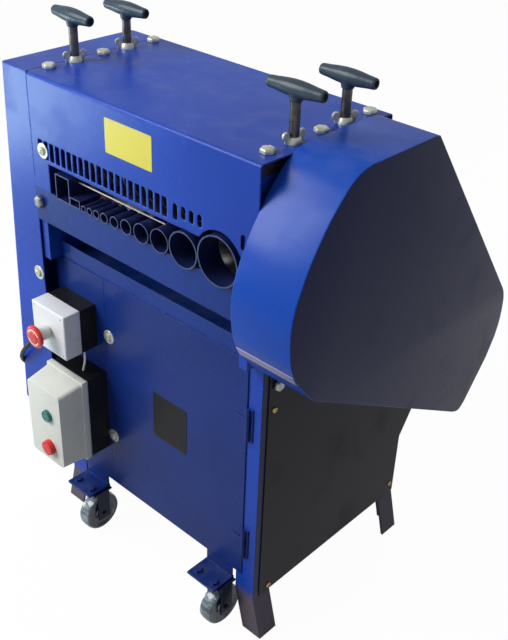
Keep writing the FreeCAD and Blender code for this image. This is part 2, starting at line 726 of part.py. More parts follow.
node("drive_pulley", pulley("drive_wheel", "drive_y", "drive_z", "pulley_radius",
                             "drive_radius + running_fit"))
node("motor_pulley", pulley("motor_wheel", "motor_axis_y", "motor_axis_z", "small_pulley",
                             "motor_shaft + running_fit"))


def belt_loop(offset, x_low, x_high):
    """The loop round both pulleys, drawn at offset from the belt line."""
    first = Vector(0, size_of["drive_y"], size_of["drive_z"])
    second = Vector(0, size_of["motor_axis_y"], size_of["motor_axis_z"])
    radius_first = size_of["pulley_radius"] + offset
    radius_second = size_of["small_pulley"] + offset
    along = second - first
    heading = math.atan2(along.z, along.y)
    lean = math.acos((radius_first - radius_second) / along.Length)

    def on(centre, radius, turn):
        return centre + Vector(0, radius * math.cos(heading + turn), radius * math.sin(heading + turn))

    edges = [
        Part.Arc(on(first, radius_first, lean), on(first, radius_first, math.pi),
                 on(first, radius_first, -lean)),
        Part.LineSegment(on(first, radius_first, -lean), on(second, radius_second, -lean)),
        Part.Arc(on(second, radius_second, -lean), on(second, radius_second, 0),
                 on(second, radius_second, lean)),
        Part.LineSegment(on(second, radius_second, lean), on(first, radius_first, lean)),
    ]
    face = Part.Face(Part.Wire([edge.toShape() for edge in edges]))
    face.translate(Vector(x_low, 0, 0))
    return face.extrude(Vector(x_high - x_low, 0, 0))


belt_low = size_of["pulley_place"] + (size_of["pulley_width"] - size_of["belt_width"]) / 2
belt_high = belt_low + size_of["belt_width"]
half_belt = size_of["belt_thick"] / 2
node("drive_belt", drawn("DriveBelt", belt_loop(half_belt, belt_low, belt_high).cut(
    belt_loop(-half_belt, belt_low - 1, belt_high + 1))))

# ---------------------------------------------------------------- motor with its gear head

motor_end = "stand_east - angle_leg - 4"
node("motor", joined("Motor", [
    rod("motor_output", "x", (f"{motor_end} - 20", "motor_axis_y", "motor_axis_z"), "motor_shaft",
        f"{pulley_end} + 4 - ({motor_end} - 20)"),
    block("gear_head", (f"{motor_end} - 70", motor_end), ("motor_axis_y - 54", "motor_axis_y + 54"),
          ("motor_axis_z - motor_radius - 4", "motor_axis_z + 54")),
    rod("motor_can", "x", (f"{motor_end} - 70 - motor_length", "motor_axis_y", "motor_axis_z"),
        "motor_radius", "motor_length"),
    block("motor_foot", (f"{motor_end} - 60 - motor_length", f"{motor_end} - 40"),
          ("motor_axis_y - 44", "motor_axis_y - 10"),
          ("motor_axis_z - motor_radius - 4", "motor_axis_z - 30")),
]))

# ---------------------------------------------------------------- stand: legs, rails, shelf, floor

leg_wide = size_of["angle_leg"]
leg_wall = size_of["angle_wall"]


def angle_section(x, y, x_way, y_way, z):
    """The outline of an angle iron whose outer corner is at (x, y)."""
    steps = [(0, 0), (leg_wide, 0), (leg_wide, leg_wall), (leg_wall, leg_wall), (leg_wall, leg_wide),
             (0, leg_wide)]
    corners = [Vector(x + x_way * across, y + y_way * back, z) for across, back in steps]
    return Part.makePolygon(corners + corners[:1])


def leg(x, y, x_way, y_way):
    """A leg that stands upright down to its bend and then leans out sideways."""
    bend = size_of["foot_bend"]
    upright = Part.Face(angle_section(x, y, x_way, y_way, bend))
    upright = upright.extrude(Vector(0, 0, size_of["leg_top"] - bend))
    foot = Part.makeLoft([angle_section(x - x_way * size_of["foot_splay"], y, x_way, y_way, 0),
                          angle_section(x, y, x_way, y_way, bend)], True, True)
    return upright.fuse(foot).removeSplitter()


east = size_of["stand_east"]
west = size_of["stand_west"]
front = size_of["stand_front"]
rear = size_of["stand_rear"]
# the right rear leg is drilled for the motor shaft
motor_line = Vector(east - 10, size_of["motor_axis_y"], size_of["motor_axis_z"])
leg_hole = Part.makeCylinder(size_of["motor_shaft"] + 6, 20, motor_line, Vector(1, 0, 0))
node("legs", drawn("Legs", Part.makeCompound([
    leg(east, front, -1, 1),
    leg(west, front, 1, 1),
    leg(east, rear, -1, -1).cut(leg_hole),
    leg(west, rear, 1, -1),
])))

rail_x = ("stand_west + angle_wall", "stand_east - angle_wall")
inner_front = "stand_front + angle_wall"
inner_rear = "stand_rear - angle_wall"
top_rail = ("leg_top - rail_height", "leg_top")
low_rail = ("floor_height - panel_wall - rail_height", "floor_height - panel_wall")
side_y = (f"{inner_front} + 4", f"{inner_rear} - 4")


def side_bar(name, side, z):
    x = {"east": ("stand_east - angle_wall - 4", "stand_east - angle_wall"),
         "west": ("stand_west + angle_wall", "stand_west + angle_wall + 4")}[side]
    return block(name, x, side_y, z)


shelf_top = "motor_axis_z - motor_radius - 4"
node("stand_frame", group("StandFrame", [
    block("rail_front_top", rail_x, (inner_front, f"{inner_front} + 4"), top_rail),
    block("rail_rear_top", rail_x, (f"{inner_rear} - 4", inner_rear), top_rail),
    block("rail_front_low", rail_x, (inner_front, f"{inner_front} + 4"),
          ("rail_front_foot", "rail_front_foot + rail_height")),
    block("rail_rear_low", rail_x, (f"{inner_rear} - 4", inner_rear), low_rail),
    side_bar("rail_east_top", "east", top_rail),
    side_bar("rail_west_top", "west", top_rail),
    side_bar("rail_east_low", "east", low_rail),
    side_bar("rail_west_low", "west", low_rail),
    block("shelf_plate", ("stand_west + angle_wall + 8", "stand_east - angle_wall"),
          ("motor_axis_y - 100", f"{inner_rear} - 8"), (f"{shelf_top} - 4", shelf_top)),
    block("shelf_cleat_east", ("stand_east - angle_wall - 4", "stand_east - angle_wall"),
          ("motor_axis_y - 100", "stand_rear - angle_leg"), (f"{shelf_top} - 30", f"{shelf_top} - 4")),
    block("shelf_cleat_west", ("stand_west + angle_wall + 8", "stand_west + angle_wall + 12"),
          ("motor_axis_y - 100", "stand_rear - angle_leg"), (f"{shelf_top} - 30", f"{shelf_top} - 4")),
    block("cabinet_floor", rail_x, (inner_front, inner_rear), ("floor_height - panel_wall", "floor_height")),
]))

top_sheet = block("top_sheet", ("stand_west", "stand_east"), ("stand_front", "stand_rear"),
                  ("leg_top", "stand_top"))
scrap_hole = block("scrap_hole", ("stand_west + 34", "stand_east - 46"),
                   ("stand_front + 50", "stand_front + 205"), ("leg_top - 2", "stand_top + 2"))
node("stand_top", cut("StandTop", top_sheet, [scrap_hole]))

lip_x = ("left_mid + plate_thick / 2 + side_gap", "right_mid - plate_thick / 2 - side_gap")
node("chute_lip", joined("ChuteLip", [
    block("lip_strip", lip_x, ("stand_front - 2", "stand_front"), ("lip_low", "lip_high")),
    block("lip_shelf", lip_x, ("stand_front - 1", "stand_front + 50"), ("lip_low", "lip_low + 2")),
    block("lip_foot_left", ("stand_west + 30", "stand_west + 60"), ("stand_front + 20", "stand_front + 45"),
          ("stand_top", "lip_low + 1")),
    block("lip_foot_right", ("0 - 60", "0 - 34"), ("stand_front + 20", "stand_front + 45"),
          ("stand_top", "lip_low + 1")),
]))

# ---------------------------------------------------------------- cabinet panels and rear housing

panel_y = ("stand_front + 13", "stand_rear")
panel_z = ("panel_low", "stand_top - 2")
right_sheet = block("right_sheet", ("stand_east", "stand_east + panel_wall - 0.2"), panel_y, panel_z)
shaft_place = ("stand_east - 1", "motor_axis_y", "motor_axis_z")
right_holes = [rod("shaft_hole", "x", shaft_place, "motor_shaft + 6", 6)]
PANEL_SCREWS = [(53, 462), (62, 90), (401, 101), (401, 528)]
right_holes += [
    rod(f"right_screw_hole_{number}", "x", ("stand_east - 1", y, z), 2.2, 6)
    for number, (y, z) in enumerate(PANEL_SCREWS)
]
node("right_panel", cut("RightPanel", right_sheet, right_holes))
node("left_panel", block("LeftPanel", ("stand_west - panel_wall + 0.2", "stand_west"), panel_y, panel_z))

back_sheet = block("back_sheet", ("stand_west", "stand_east"), ("stand_rear", "stand_rear + panel_wall"),
                   panel_z)
housing_x = ("stand_east - housing_width", "stand_east")
back_hole = block("back_hole", ("stand_east - housing_width + 16", "stand_east - 12"),
                  ("stand_rear - 1", "stand_rear + panel_wall + 1"),
                  ("housing_low + 60", "leg_top - rail_height"))
node("back_panel", cut("BackPanel", back_sheet, [back_hole]))


def housing_solid(inset, x_low, x_high, open_front):
    """The rear housing: upright back, sloping floor, open towards the cabinet."""
    start = size_of["stand_rear"] + size_of["panel_wall"] - open_front
    back = size_of["machine_back"] - inset
    low = size_of["housing_low"] + inset * 2
    points = [(start, low), (back, low + size_of["housing_rise"]), (back, size_of["stand_top"] - inset),
              (start, size_of["stand_top"] - inset)]
    return prism(points, x_low, x_high)


housing_low_x = amount(housing_x[0])
housing_high_x = amount(housing_x[1])
wall = size_of["cover_wall"]
node("motor_housing", drawn("MotorHousing", housing_solid(0, housing_low_x, housing_high_x, 0).cut(
    housing_solid(wall, housing_low_x + wall, housing_high_x - wall, 1))))


def round_head(name, axis, way, place, radius, height, shank):
    """A screw with a domed head; way is +1 or -1 along its axis, out of the panel."""
    x, y, z = place
    start = {"x": (f"({x}) - ({shank if way > 0 else height})", y, z),
             "y": (x, f"({y}) - ({shank if way > 0 else height})", z)}[axis]
    stem_start = start if way > 0 else place
    stem = rod(name + "_shank", axis, stem_start, 2, shank)
    head_start = place if way > 0 else start
    head = rod(name + "_head", axis, head_start, radius, height)
    return joined(name, [stem, head])


screw_face = "stand_east + panel_wall - 0.2"
node("panel_screws", group("PanelScrews", [
    round_head(f"panel_screw_{number}", "x", 1, (screw_face, y, z), 5, 2.6, "panel_wall - 0.2")
    for number, (y, z) in enumerate(PANEL_SCREWS)
]))

# ---------------------------------------------------------------- fixed front panel, door, hinges

front_y = ("stand_front - panel_wall", "stand_front")
door_z = ("door_low", "stand_top - 1")
node("front_panel", block("FrontPanel", ("stand_west", "door_west - door_gap"), front_y, door_z))

DOOR_SCREWS = [(343.5, 441), (343.5, 233)]
door_sheet = block("door_sheet", ("door_west", "door_east"), front_y, door_z)
knuckle_y = "stand_front - panel_wall - hinge_radius + 1"
hinge_x = "door_east + hinge_radius + 0.2"
HINGES = {"lower": "hinge_low", "upper": "hinge_high"}
door_cuts = [
    rod(f"door_screw_hole_{number}", "y", (-x, "stand_front - panel_wall - 1", z), 2.5, "panel_wall + 2")
    for number, (x, z) in enumerate(DOOR_SCREWS)
]
node("door", cut("Door", door_sheet, door_cuts))


def washered_screw(name, x, face, z, shank):
    """A cross-recessed screw on a big washer, facing the front."""
    return joined(name, [
        rod(name + "_washer", "y", (x, f"{face} - 1.6", z), 12, 1.6),
        rod(name + "_head", "y", (x, f"{face} - 5.6", z), 7, 4.2),
        rod(name + "_shank", "y", (x, face, z), 2.4, shank),
    ])


node("door_screws", group("DoorScrews", [
    washered_screw(f"door_screw_{number}", -x, "stand_front - panel_wall", z, "panel_wall")
    for number, (x, z) in enumerate(DOOR_SCREWS)
]))


def knuckle(name, z, height):
    return rod(name, "z", (hinge_x, knuckle_y, z), "hinge_radius", height)


frame_leaves = []
door_leaves = []
for place, middle in HINGES.items():
    low = f"{middle} - hinge_height / 2"
    third = "hinge_height / 3"
    pin_room = [rod(f"{place}_pin_room", "z", (hinge_x, knuckle_y, f"{low} + {third} - 1"),
                    "1.5 + running_fit", f"{third} + 2")]
    leaf = block(f"{place}_frame_leaf", (f"{hinge_x}", "door_east + 12"),
                 ("stand_front - panel_wall", "stand_front"), (low, f"{middle} + hinge_height / 2"))
    notch = block(f"{place}_leaf_notch", (f"{hinge_x} - 5", f"{hinge_x} + hinge_radius + 0.3"),
                  ("stand_front - 12", "stand_front + 2"),
                  (f"{low} + {third} - 0.3", f"{low} + 2 * {third} + 0.3"))
    frame_leaves.append(joined(f"{place}_frame_hinge", [
        cut(f"{place}_frame_leaf_cut", leaf, [notch]),
        knuckle(f"{place}_knuckle_low", low, f"{third} - 0.3"),
        knuckle(f"{place}_knuckle_high", f"{low} + 2 * {third} + 0.3", f"{third} - 0.3"),
        rod(f"{place}_pin", "z", (hinge_x, knuckle_y, low), 1.5, "hinge_height"),
    ]))
    door_leaf = joined(f"{place}_door_leaf", [
        knuckle(f"{place}_knuckle_mid", f"{low} + {third}", third),
        block(f"{place}_door_strap", ("door_east - 20", hinge_x),
              ("stand_front - panel_wall - 1.5", "stand_front - panel_wall"),
              (f"{low} + {third}", f"{low} + 2 * {third}")),
    ])
    door_leaves.append(cut(f"{place}_door_hinge", door_leaf, pin_room))
node("frame_hinges", group("FrameHinges", frame_leaves))
node("door_hinges", group("DoorHinges", door_leaves))

# ---------------------------------------------------------------- left cover and drive cover

def side_cover(inset):
    """The left cover's solid, drawn inwards by inset; its left side leans out towards the foot."""
    east_x = -size_of["hood_width"] + 2 * (inset > 0)
    top_x = -size_of["hood_width"] - size_of["cover_side_top"] + inset
    foot_x = size_of["cover_west"] + inset
    low = size_of["cover_side_low"] + inset
    high = size_of["hood_top"] - inset
    corners = [Vector(east_x, inset, low), Vector(foot_x, inset, low), Vector(top_x, inset, high),
               Vector(east_x, inset, high)]
    face = Part.Face(Part.makePolygon(corners + corners[:1]))
    return face.extrude(Vector(0, size_of["cover_side_depth"] - 2 * inset, 0))


def leaning_edges(solid):
    """The front and rear edges of the cover's leaning left side."""
    found = []
    for edge in solid.Edges:
        ends = [vertex.Point for vertex in edge.Vertexes]
        if abs(ends[0].z - ends[1].z) > 1 and all(point.x < -size_of["hood_width"] - 10 for point in ends):
            found.append(edge)
    return found


side_shell = side_cover(0)
node("left_cover", drawn("LeftCover", side_shell.makeFillet(6, leaning_edges(side_shell)).cut(
    side_cover(size_of["cover_wall"]))))

node("front_screws", group("FrontScrews", [
    joined("hood_screw", [
        rod("hood_screw_washer", "y", ("0 - 449", "0 - 1.6", 744), 12, 1.6),
        rod("hood_screw_head", "y", ("0 - 449", "0 - 5.6", 744), 7, 4.2),
    ]),
    joined("cover_screw", [
        rod("cover_screw_washer", "y", ("0 - 489", "0 - 1.6", 514), 12, 1.6),
        rod("cover_screw_head", "y", ("0 - 489", "0 - 5.6", 514), 7, 4.2),
    ]),
] + [
    joined(f"board_bolt_{side}", [
        hexagon(f"board_bolt_head_{side}", "y", (mid, "0 - head_height", "board_low + 33"),
                "bolt_head", "head_height"),
        rod(f"board_bolt_shank_{side}", "y", (mid, 0, "board_low + 33"), "bolt_radius",
            "board_wall + 10"),
    ])
    for side, mid in MIDS.items()
]))


def drive_outline():
    """The drive cover's face: round over the roller gears, tapering down to the motor pulley."""
    top = size_of["drive_top"]
    back = size_of["drive_back"]
    corners = {
        "top_front": Vector(0, 90, top),
        "brow": Vector(0, 27, 838),
        "forehead": Vector(0, -30, 747),
        "nose": Vector(0, -47, 690),
        "chin": Vector(0, -29, 603),
        "lip": Vector(0, -14, 583),
        "heel": Vector(0, 9, 558),
        "rear_low": Vector(0, 407, 324),
        "rear_turn": Vector(0, 421, 321),
        "rear_foot": Vector(0, 433, 328),
        "rear_belly": Vector(0, 489, 403),
        "rear_swell": Vector(0, back - 3.6, 450),
        "rear_shoulder": Vector(0, back - 0.6, 490),
        "rear_crook": Vector(0, back - 4.6, 520),
        "rear_high": Vector(0, 494, 540),
        "top_back": Vector(0, 229, top),
    }
    at = corners.get
    edges = [
        Part.Arc(at("top_front"), at("brow"), at("forehead")),
        Part.Arc(at("forehead"), at("nose"), at("chin")),
        Part.Arc(at("chin"), at("lip"), at("heel")),
        Part.LineSegment(at("heel"), at("rear_low")),
        Part.Arc(at("rear_low"), at("rear_turn"), at("rear_foot")),
        Part.LineSegment(at("rear_foot"), at("rear_belly")),
        Part.Arc(at("rear_belly"), at("rear_swell"), at("rear_shoulder")),
        Part.Arc(at("rear_shoulder"), at("rear_crook"), at("rear_high")),
        Part.LineSegment(at("rear_high"), at("top_back")),
        Part.LineSegment(at("top_back"), at("top_front")),
    ]
    return Part.Wire([edge.toShape() for edge in edges])


drive_face = Part.Face(drive_outline())
drive_inner = drive_face.makeOffset2D(-wall)
drive_shell = drive_face.extrude(Vector(size_of["drive_depth"], 0, 0)).cut(
    drive_inner.extrude(Vector(size_of["drive_depth"] - wall, 0, 0)))
node("drive_cover", drawn("drive_shell", drive_shell))

# ---------------------------------------------------------------- casters

CASTERS = {"right": "0 - caster_right", "left": "0 - caster_right - caster_pitch"}
flange_y = ("stand_front - flange_reach", "stand_front + angle_wall")
axle_radius = 4


def caster_bracket(side, x):
    """An angle: its flange in front of the stand, its upright behind the door on the front rail."""
    half = "flange_width / 2"
    flange = block(f"{side}_flange", (f"{x} - {half}", f"{x} + {half}"), flange_y,
                   ("flange_height - 4", "flange_height"))
    upright = block(f"{side}_upright", (f"{x} - {half} + 2", f"{x} + {half} - 2"),
                    ("stand_front", "stand_front + angle_wall"), ("flange_height - 4", "flange_height + 44"))
    bolt_y = "stand_front - flange_reach + 14"
    heads = [
        hexagon(f"{side}_caster_bolt_{number}", "z",
                (f"{x} + {way} * ({half} - 12)", bolt_y, "flange_height"), 6, 5)
        for number, way in enumerate((-1, 1))
    ]
    return joined(f"{side}_bracket", [flange, upright] + heads)


def caster_fork(side, x):
    """A rigid fork: top plate, two cheeks and the wheel's axle."""
    half = "wheel_width / 2 + 1"
    under = "flange_height - 4"
    hub = f"{x} + caster_offset"
    plate = block(f"{side}_fork_plate", (f"{x} - flange_width / 2 + 3", f"{hub} + {half} + 4"),
                  ("wheel_y - 21", "wheel_y + 19"), (f"{under} - 3", under))
    cheeks = []
    for number, way in enumerate((-1, 1)):
        inner = f"{hub} + {way} * ({half})"
        outer = f"{hub} + {way} * ({half} + 3)"
        span = (outer, inner) if way < 0 else (inner, outer)
        cheeks.append(block(f"{side}_cheek_{number}", span, ("wheel_y - 13", "wheel_y + 13"),
                            ("wheel_z - 11", f"{under} - 2")))
    axle = rod(f"{side}_axle", "x", (f"{hub} - ({half}) - 6", "wheel_y", "wheel_z"), axle_radius,
               f"2 * ({half}) + 12")
    return joined(f"{side}_fork", [plate] + cheeks + [axle])


def caster_wheel(side, x):
    start = (f"{x} - wheel_width / 2", "wheel_y", "wheel_z")
    tread = rod(f"{side}_tread", "x", start, "wheel_radius", "wheel_width")
    rounded = new("Part::Fillet", f"{side}_tread_round")
    rounded.Base = tread
    doc.recompute()
    rims = [number for number, edge in enumerate(tread.Shape.Edges, start=1)
            if isinstance(edge.Curve, Part.Circle)]
    rounded.Edges = [(number, 7.0, 7.0) for number in rims]
    bore = rod(f"{side}_wheel_bore", "x", (f"{x} - wheel_width / 2 - 1", "wheel_y", "wheel_z"),
               f"{axle_radius} + running_fit", "wheel_width + 2")
    return cut(f"{side}_wheel_solid", rounded, [bore])


node("caster_brackets", group("CasterBrackets", [caster_bracket(side, x) for side, x in CASTERS.items()]))
node("caster_forks", group("CasterForks", [caster_fork(side, x) for side, x in CASTERS.items()]))
for side, x in CASTERS.items():
    node(f"{side}_wheel", caster_wheel(side, f"{x} + caster_offset"))

# ---------------------------------------------------------------- emergency stop box

stop_x = ("0 - stop_left", "stop_width - stop_left")
stop_z = ("stop_low", "stop_low + stop_height")
stop_mid_x = "stop_width / 2 - stop_left"
stop_mid_z = "stop_low + stop_height / 2"
box_back = "stand_front - panel_wall"
stop_base_body = block("stop_base_body", ("1 - stop_left", "stop_width - stop_left - 1"),
                       ("0 - stop_split", box_back), ("stop_low + 1", "stop_low + stop_height - 1"))
stop_base_room = block("stop_base_room", ("4 - stop_left", "stop_width - stop_left - 4"),
                       ("0 - stop_split - 1", f"{box_back} - 3"),
                       ("stop_low + 4", "stop_low + stop_height - 4"))
node("stop_box_base", cut("StopBase", stop_base_body, [stop_base_room]))
stop_stem = 8
stop_cover_body = block("stop_cover_body", stop_x, ("0 - stop_front", "0 - stop_split"), stop_z)
stop_cover_room = block("stop_cover_room", ("2.5 - stop_left", "stop_width - stop_left - 2.5"),
                        ("2.5 - stop_front", "1 - stop_split"),
                        ("stop_low + 2.5", "stop_low + stop_height - 2.5"))
stop_hole = rod("stop_hole", "y", (stop_mid_x, "0 - stop_front - 2", stop_mid_z),
                f"{stop_stem} + running_fit", 8)
node("stop_box_cover", cut("StopCover", stop_cover_body, [stop_cover_room, stop_hole]))
node("stop_button", joined("StopButton", [
    rod("mushroom", "y", (stop_mid_x, "0 - mushroom_reach", stop_mid_z), "mushroom_radius", 12),
    rod("mushroom_skirt", "y", (stop_mid_x, "11 - mushroom_reach", stop_mid_z), "mushroom_radius - 5",
        "mushroom_reach - 11 - stop_front - press_travel - 1"),
    rod("stop_stem", "y", (stop_mid_x, "11 - mushroom_reach", stop_mid_z), stop_stem,
        "mushroom_reach - 11 - stop_front + 18"),
]))

# ---------------------------------------------------------------- starter box

starter_x = ("0 - starter_left", "starter_width - starter_left")
starter_z = ("starter_low", "starter_low + starter_height")
starter_mid_x = "starter_width / 2 - starter_left"
node("starter_base", cut("StarterBase", block(
    "starter_base_body", ("1.5 - starter_left", "starter_width - starter_left - 1.5"),
    ("0 - starter_split", box_back), ("starter_low + 1.5", "starter_low + starter_height - 1.5")), [
        block("starter_base_room", ("5 - starter_left", "starter_width - starter_left - 5"),
              ("0 - starter_split - 1", f"{box_back} - 3"),
              ("starter_low + 5", "starter_low + starter_height - 5"))]))


def bevelled_box(inset):
    """The starter cover: a straight rim, then sides that slope in to the flat face."""
    x_low = amount(starter_x[0]) + inset
    x_high = amount(starter_x[1]) - inset
    z_low = amount(starter_z[0]) + inset
    z_high = amount(starter_z[1]) - inset
    open_y = -size_of["starter_split"] + (1 if inset else 0)
    rim_y = -size_of["starter_rim"] + inset * 0.5
    face_y = -size_of["starter_front"] + inset
    sides = size_of["starter_side_slope"]
    top = size_of["starter_top_slope"]
    foot = size_of["starter_foot_slope"]

    def frame(y, pull):
        corners = [Vector(x_low + pull * sides, y, z_low + pull * foot),
                   Vector(x_high - pull * sides, y, z_low + pull * foot),
                   Vector(x_high - pull * sides, y, z_high - pull * top),
                   Vector(x_low + pull * sides, y, z_high - pull * top)]
        return Part.makePolygon(corners + corners[:1])

    rim = Part.Face(frame(open_y, 0)).extrude(Vector(0, rim_y - open_y, 0))
    return rim.fuse(Part.makeLoft([frame(rim_y, 0), frame(face_y, 1)], True, True)).removeSplitter()


BUTTONS = {
    "start_button": (304, "button_radius", "button_reach"),
    "off_button": (237, "off_radius", "off_reach"),
}
button_x = f"{starter_mid_x} + 9"
starter_shell = drawn("starter_shell", bevelled_box(0).cut(bevelled_box(2.5)))
button_holes = [
    rod(f"{name}_hole", "y", (button_x, "0 - starter_front - 2", z), f"{radius} + running_fit", 8)
    for name, (z, radius, travel) in BUTTONS.items()
]
node("starter_cover", cut("StarterCover", starter_shell, button_holes))
for name, (z, radius, travel) in BUTTONS.items():
    node(name, rod(name + "_cap", "y", (button_x, f"0 - starter_front - {travel}", z), radius,
                   f"{travel} + 14"))

# ---------------------------------------------------------------- cables

def tangent_path(points, closed_radius_floor, label):
    """Straight runs joined by arcs, each as large as its two runs allow."""
    edges = []
    start = points[0]
    for number in range(1, len(points) - 1):
        before = points[number] - points[number - 1]
        after = points[number + 1] - points[number]
        turn = before.getAngle(after)
        shorter = min(before.Length, after.Length)
        setback = 0.45 * shorter
        radius = setback / math.tan(turn / 2)
        print(f"{label} point {number}: turn {math.degrees(turn):.1f} deg, radius {radius:.1f} mm")
        if radius < closed_radius_floor:
            raise ValueError(f"{label} bends too tightly at point {number}")
        into = points[number] - before.normalize() * setback
        out = points[number] + after.normalize() * setback
        bisector = ((into - points[number]) + (out - points[number])).normalize()
        middle = points[number] + bisector * (math.hypot(setback, radius) - radius)
        edges.append(Part.LineSegment(start, into).toShape())
        edges.append(Part.Arc(into, middle, out).toShape())
        start = out
    edges.append(Part.LineSegment(start, points[-1]).toShape())
    return Part.Wire(edges)


def tube_along(points, radius, floor, label):
    path = tangent_path(points, floor, label)
    heading = points[1] - points[0]
    ring = Part.Wire([Part.Circle(points[0], heading, radius).toShape()])
    solid = path.makePipeShell([ring], True, False)
    expected = math.pi * radius ** 2 * path.Length
    print(f"{label}: length {path.Length:.0f} mm, volume / (section x length) {solid.Volume / expected:.5f}")
    return solid


lead_radius = size_of["lead_radius"]
LEAD_POINTS = [
    Vector(-471, -14, 436),
    Vector(-488, -14, 404),
    Vector(-520, -15, 362),
    Vector(-564, -19, 318),
    Vector(-592, 12, 280),
    Vector(-594, 74, 228),
    Vector(-590, 150, 140),
    Vector(-580, 226, 56),
    Vector(-566, 318, lead_radius),
    Vector(-548, 392, lead_radius),
    Vector(-518, 448, lead_radius),
]
coil_radius = size_of["coil_middle"] / 2
coil_layers = int(size_of["coil_turns"]) * 2 * lead_radius
coil_centre = Vector(-404, 474, 0)
coil_angle = math.radians(120)
coil_end = coil_centre + Vector(coil_radius * math.cos(coil_angle), coil_radius * math.sin(coil_angle),
                                lead_radius)
coil_tangent = Vector(math.sin(coil_angle), -math.cos(coil_angle), 0)
LEAD_POINTS += [coil_end - coil_tangent * 54, coil_end]
node("mains_lead", drawn("MainsLead", tube_along(LEAD_POINTS, lead_radius, 10 * lead_radius, "mains lead")))

gland_back = Vector(-size_of["stop_left"], -14, 436)
gland = Part.makeCylinder(7, 7, gland_back, Vector(-1, 0, 0))
gland_cone = Part.makeCone(7, 5.4, 9, gland_back + Vector(-7, 0, 0), Vector(-1, 0, 0))
node("mains_gland", drawn("MainsGland", gland.fuse(gland_cone).removeSplitter()))

coil_ring = Part.makeCylinder(coil_radius + lead_radius, coil_layers, coil_centre).cut(
    Part.makeCylinder(coil_radius - lead_radius, coil_layers + 2, coil_centre + Vector(0, 0, -1)))
node("mains_coil", drawn("MainsCoil", coil_ring))

# the plug lies on its back beside the coil, with a short end of the lead in its strain relief
plug_stub = coil_centre + Vector(0, coil_radius, 10)
plug = Part.makeCylinder(lead_radius, 40, plug_stub, Vector(1, 0, 0))
plug = plug.fuse(Part.makeCone(5.5, 7.5, 14, plug_stub + Vector(26, 0, 0), Vector(1, 0, 0)))
plug = plug.fuse(Part.makeBox(46, 48, 20, plug_stub + Vector(38, -24, -10)))
for across, along, wide, deep in ((8, 13, 6.3, 4), (34, 13, 6.3, 4), (21, 34, 4, 8)):
    pin = Part.makeBox(deep, wide, 20, plug_stub + Vector(38 + along - deep / 2, across - 24, 9))
    plug = plug.fuse(pin)
node("mains_plug", drawn("MainsPlug", plug.removeSplitter()))

LINK_POINTS = [
    Vector(-385.5, 3, 409.5),
    Vector(-382, 2, 399),
    Vector(-380, 0, 387),
    Vector(-382.5, -1, 374.5),
    Vector(-387, 0, 363),
]
node("link_cable", drawn("LinkCable", tube_along(LINK_POINTS, 1.8, 10.8, "link cable")))

# ---------------------------------------------------------------- checks and export

doc.recompute()
faults = []
for thing in doc.Objects:
    if "Invalid" in thing.State or "Error" in thing.State:
        faults.append(f"{thing.Name}: {thing.State}")
for piece in nodes:
    shape = piece.Shape
    if shape.isNull() or not shape.isValid() or not shape.Solids:
        faults.append(f"{piece.Label}: shape is null, not valid or holds no solid")
if faults:
    raise RuntimeError("; ".join(faults))

os.makedirs("parts", exist_ok=True)
CORDS = ("mains_lead", "mains_coil", "mains_plug")
whole = FreeCAD.BoundBox()
for piece in nodes:
    piece.Shape.exportStep(f"parts/{piece.Label}.step")
    if piece.Label not in CORDS:
        whole.add(piece.Shape.optimalBoundingBox(False))
    print(f"{piece.Label}: {len(piece.Shape.Solids)} solid(s), {piece.Shape.Volume / 1000:.1f} cm3")
print(f"{len(nodes)} sub-parts, {whole.XLength:.0f} x {whole.YLength:.0f} x {whole.ZLength:.0f} mm")
print(f"centre of the box: {whole.Center.x:.2f}, {whole.Center.y:.2f}, base {whole.ZMin:.2f}")
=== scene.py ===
import math

import bmesh
import bpy
from mathutils import Matrix, Vector


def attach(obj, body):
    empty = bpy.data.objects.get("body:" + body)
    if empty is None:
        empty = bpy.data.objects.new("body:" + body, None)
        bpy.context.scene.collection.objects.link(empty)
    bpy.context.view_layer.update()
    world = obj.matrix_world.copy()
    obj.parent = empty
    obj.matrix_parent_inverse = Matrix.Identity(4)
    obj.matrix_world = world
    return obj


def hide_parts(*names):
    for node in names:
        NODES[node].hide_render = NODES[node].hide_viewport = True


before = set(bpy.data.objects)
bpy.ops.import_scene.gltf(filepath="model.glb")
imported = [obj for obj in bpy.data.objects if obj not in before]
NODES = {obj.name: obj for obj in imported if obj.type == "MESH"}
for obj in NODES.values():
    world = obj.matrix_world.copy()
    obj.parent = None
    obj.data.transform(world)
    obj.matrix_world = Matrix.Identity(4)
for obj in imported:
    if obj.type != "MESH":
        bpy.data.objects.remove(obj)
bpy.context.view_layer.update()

# %% [markdown]
# # A cable stripper, step by step
# The machine is a box of folded sheet steel on a stand of angle iron. Each cell below looks at one
# of its pieces, says how the real one is made and how it could be modelled, and then makes it.

# %% Places and units
# Lengths are in millimetres from the hood's front right corner on the floor, like the machine's own
# drawing: x to the right, y to the back, z up.
CORNER = Vector((235.5, -214.0, 0.0))


def at(x, y, z):
    """A point of the drawing in the scene's metres."""
    return (Vector((x, y, z)) + CORNER) / 1000


print(len(NODES), "pieces from the frame")

# %% [markdown]
# ## Camera
# The camera stands in front of the machine's right corner, higher than its top, and looks down at
# it. Its axes are written as three rows, because a turned camera is easier to check that way.

# %% Camera
STANDPOINT = (728.9, -818.5, 1329.9)
AZIMUTH, ELEVATION, ROLL = math.radians(41.74), math.radians(32.15), math.radians(-2.34)
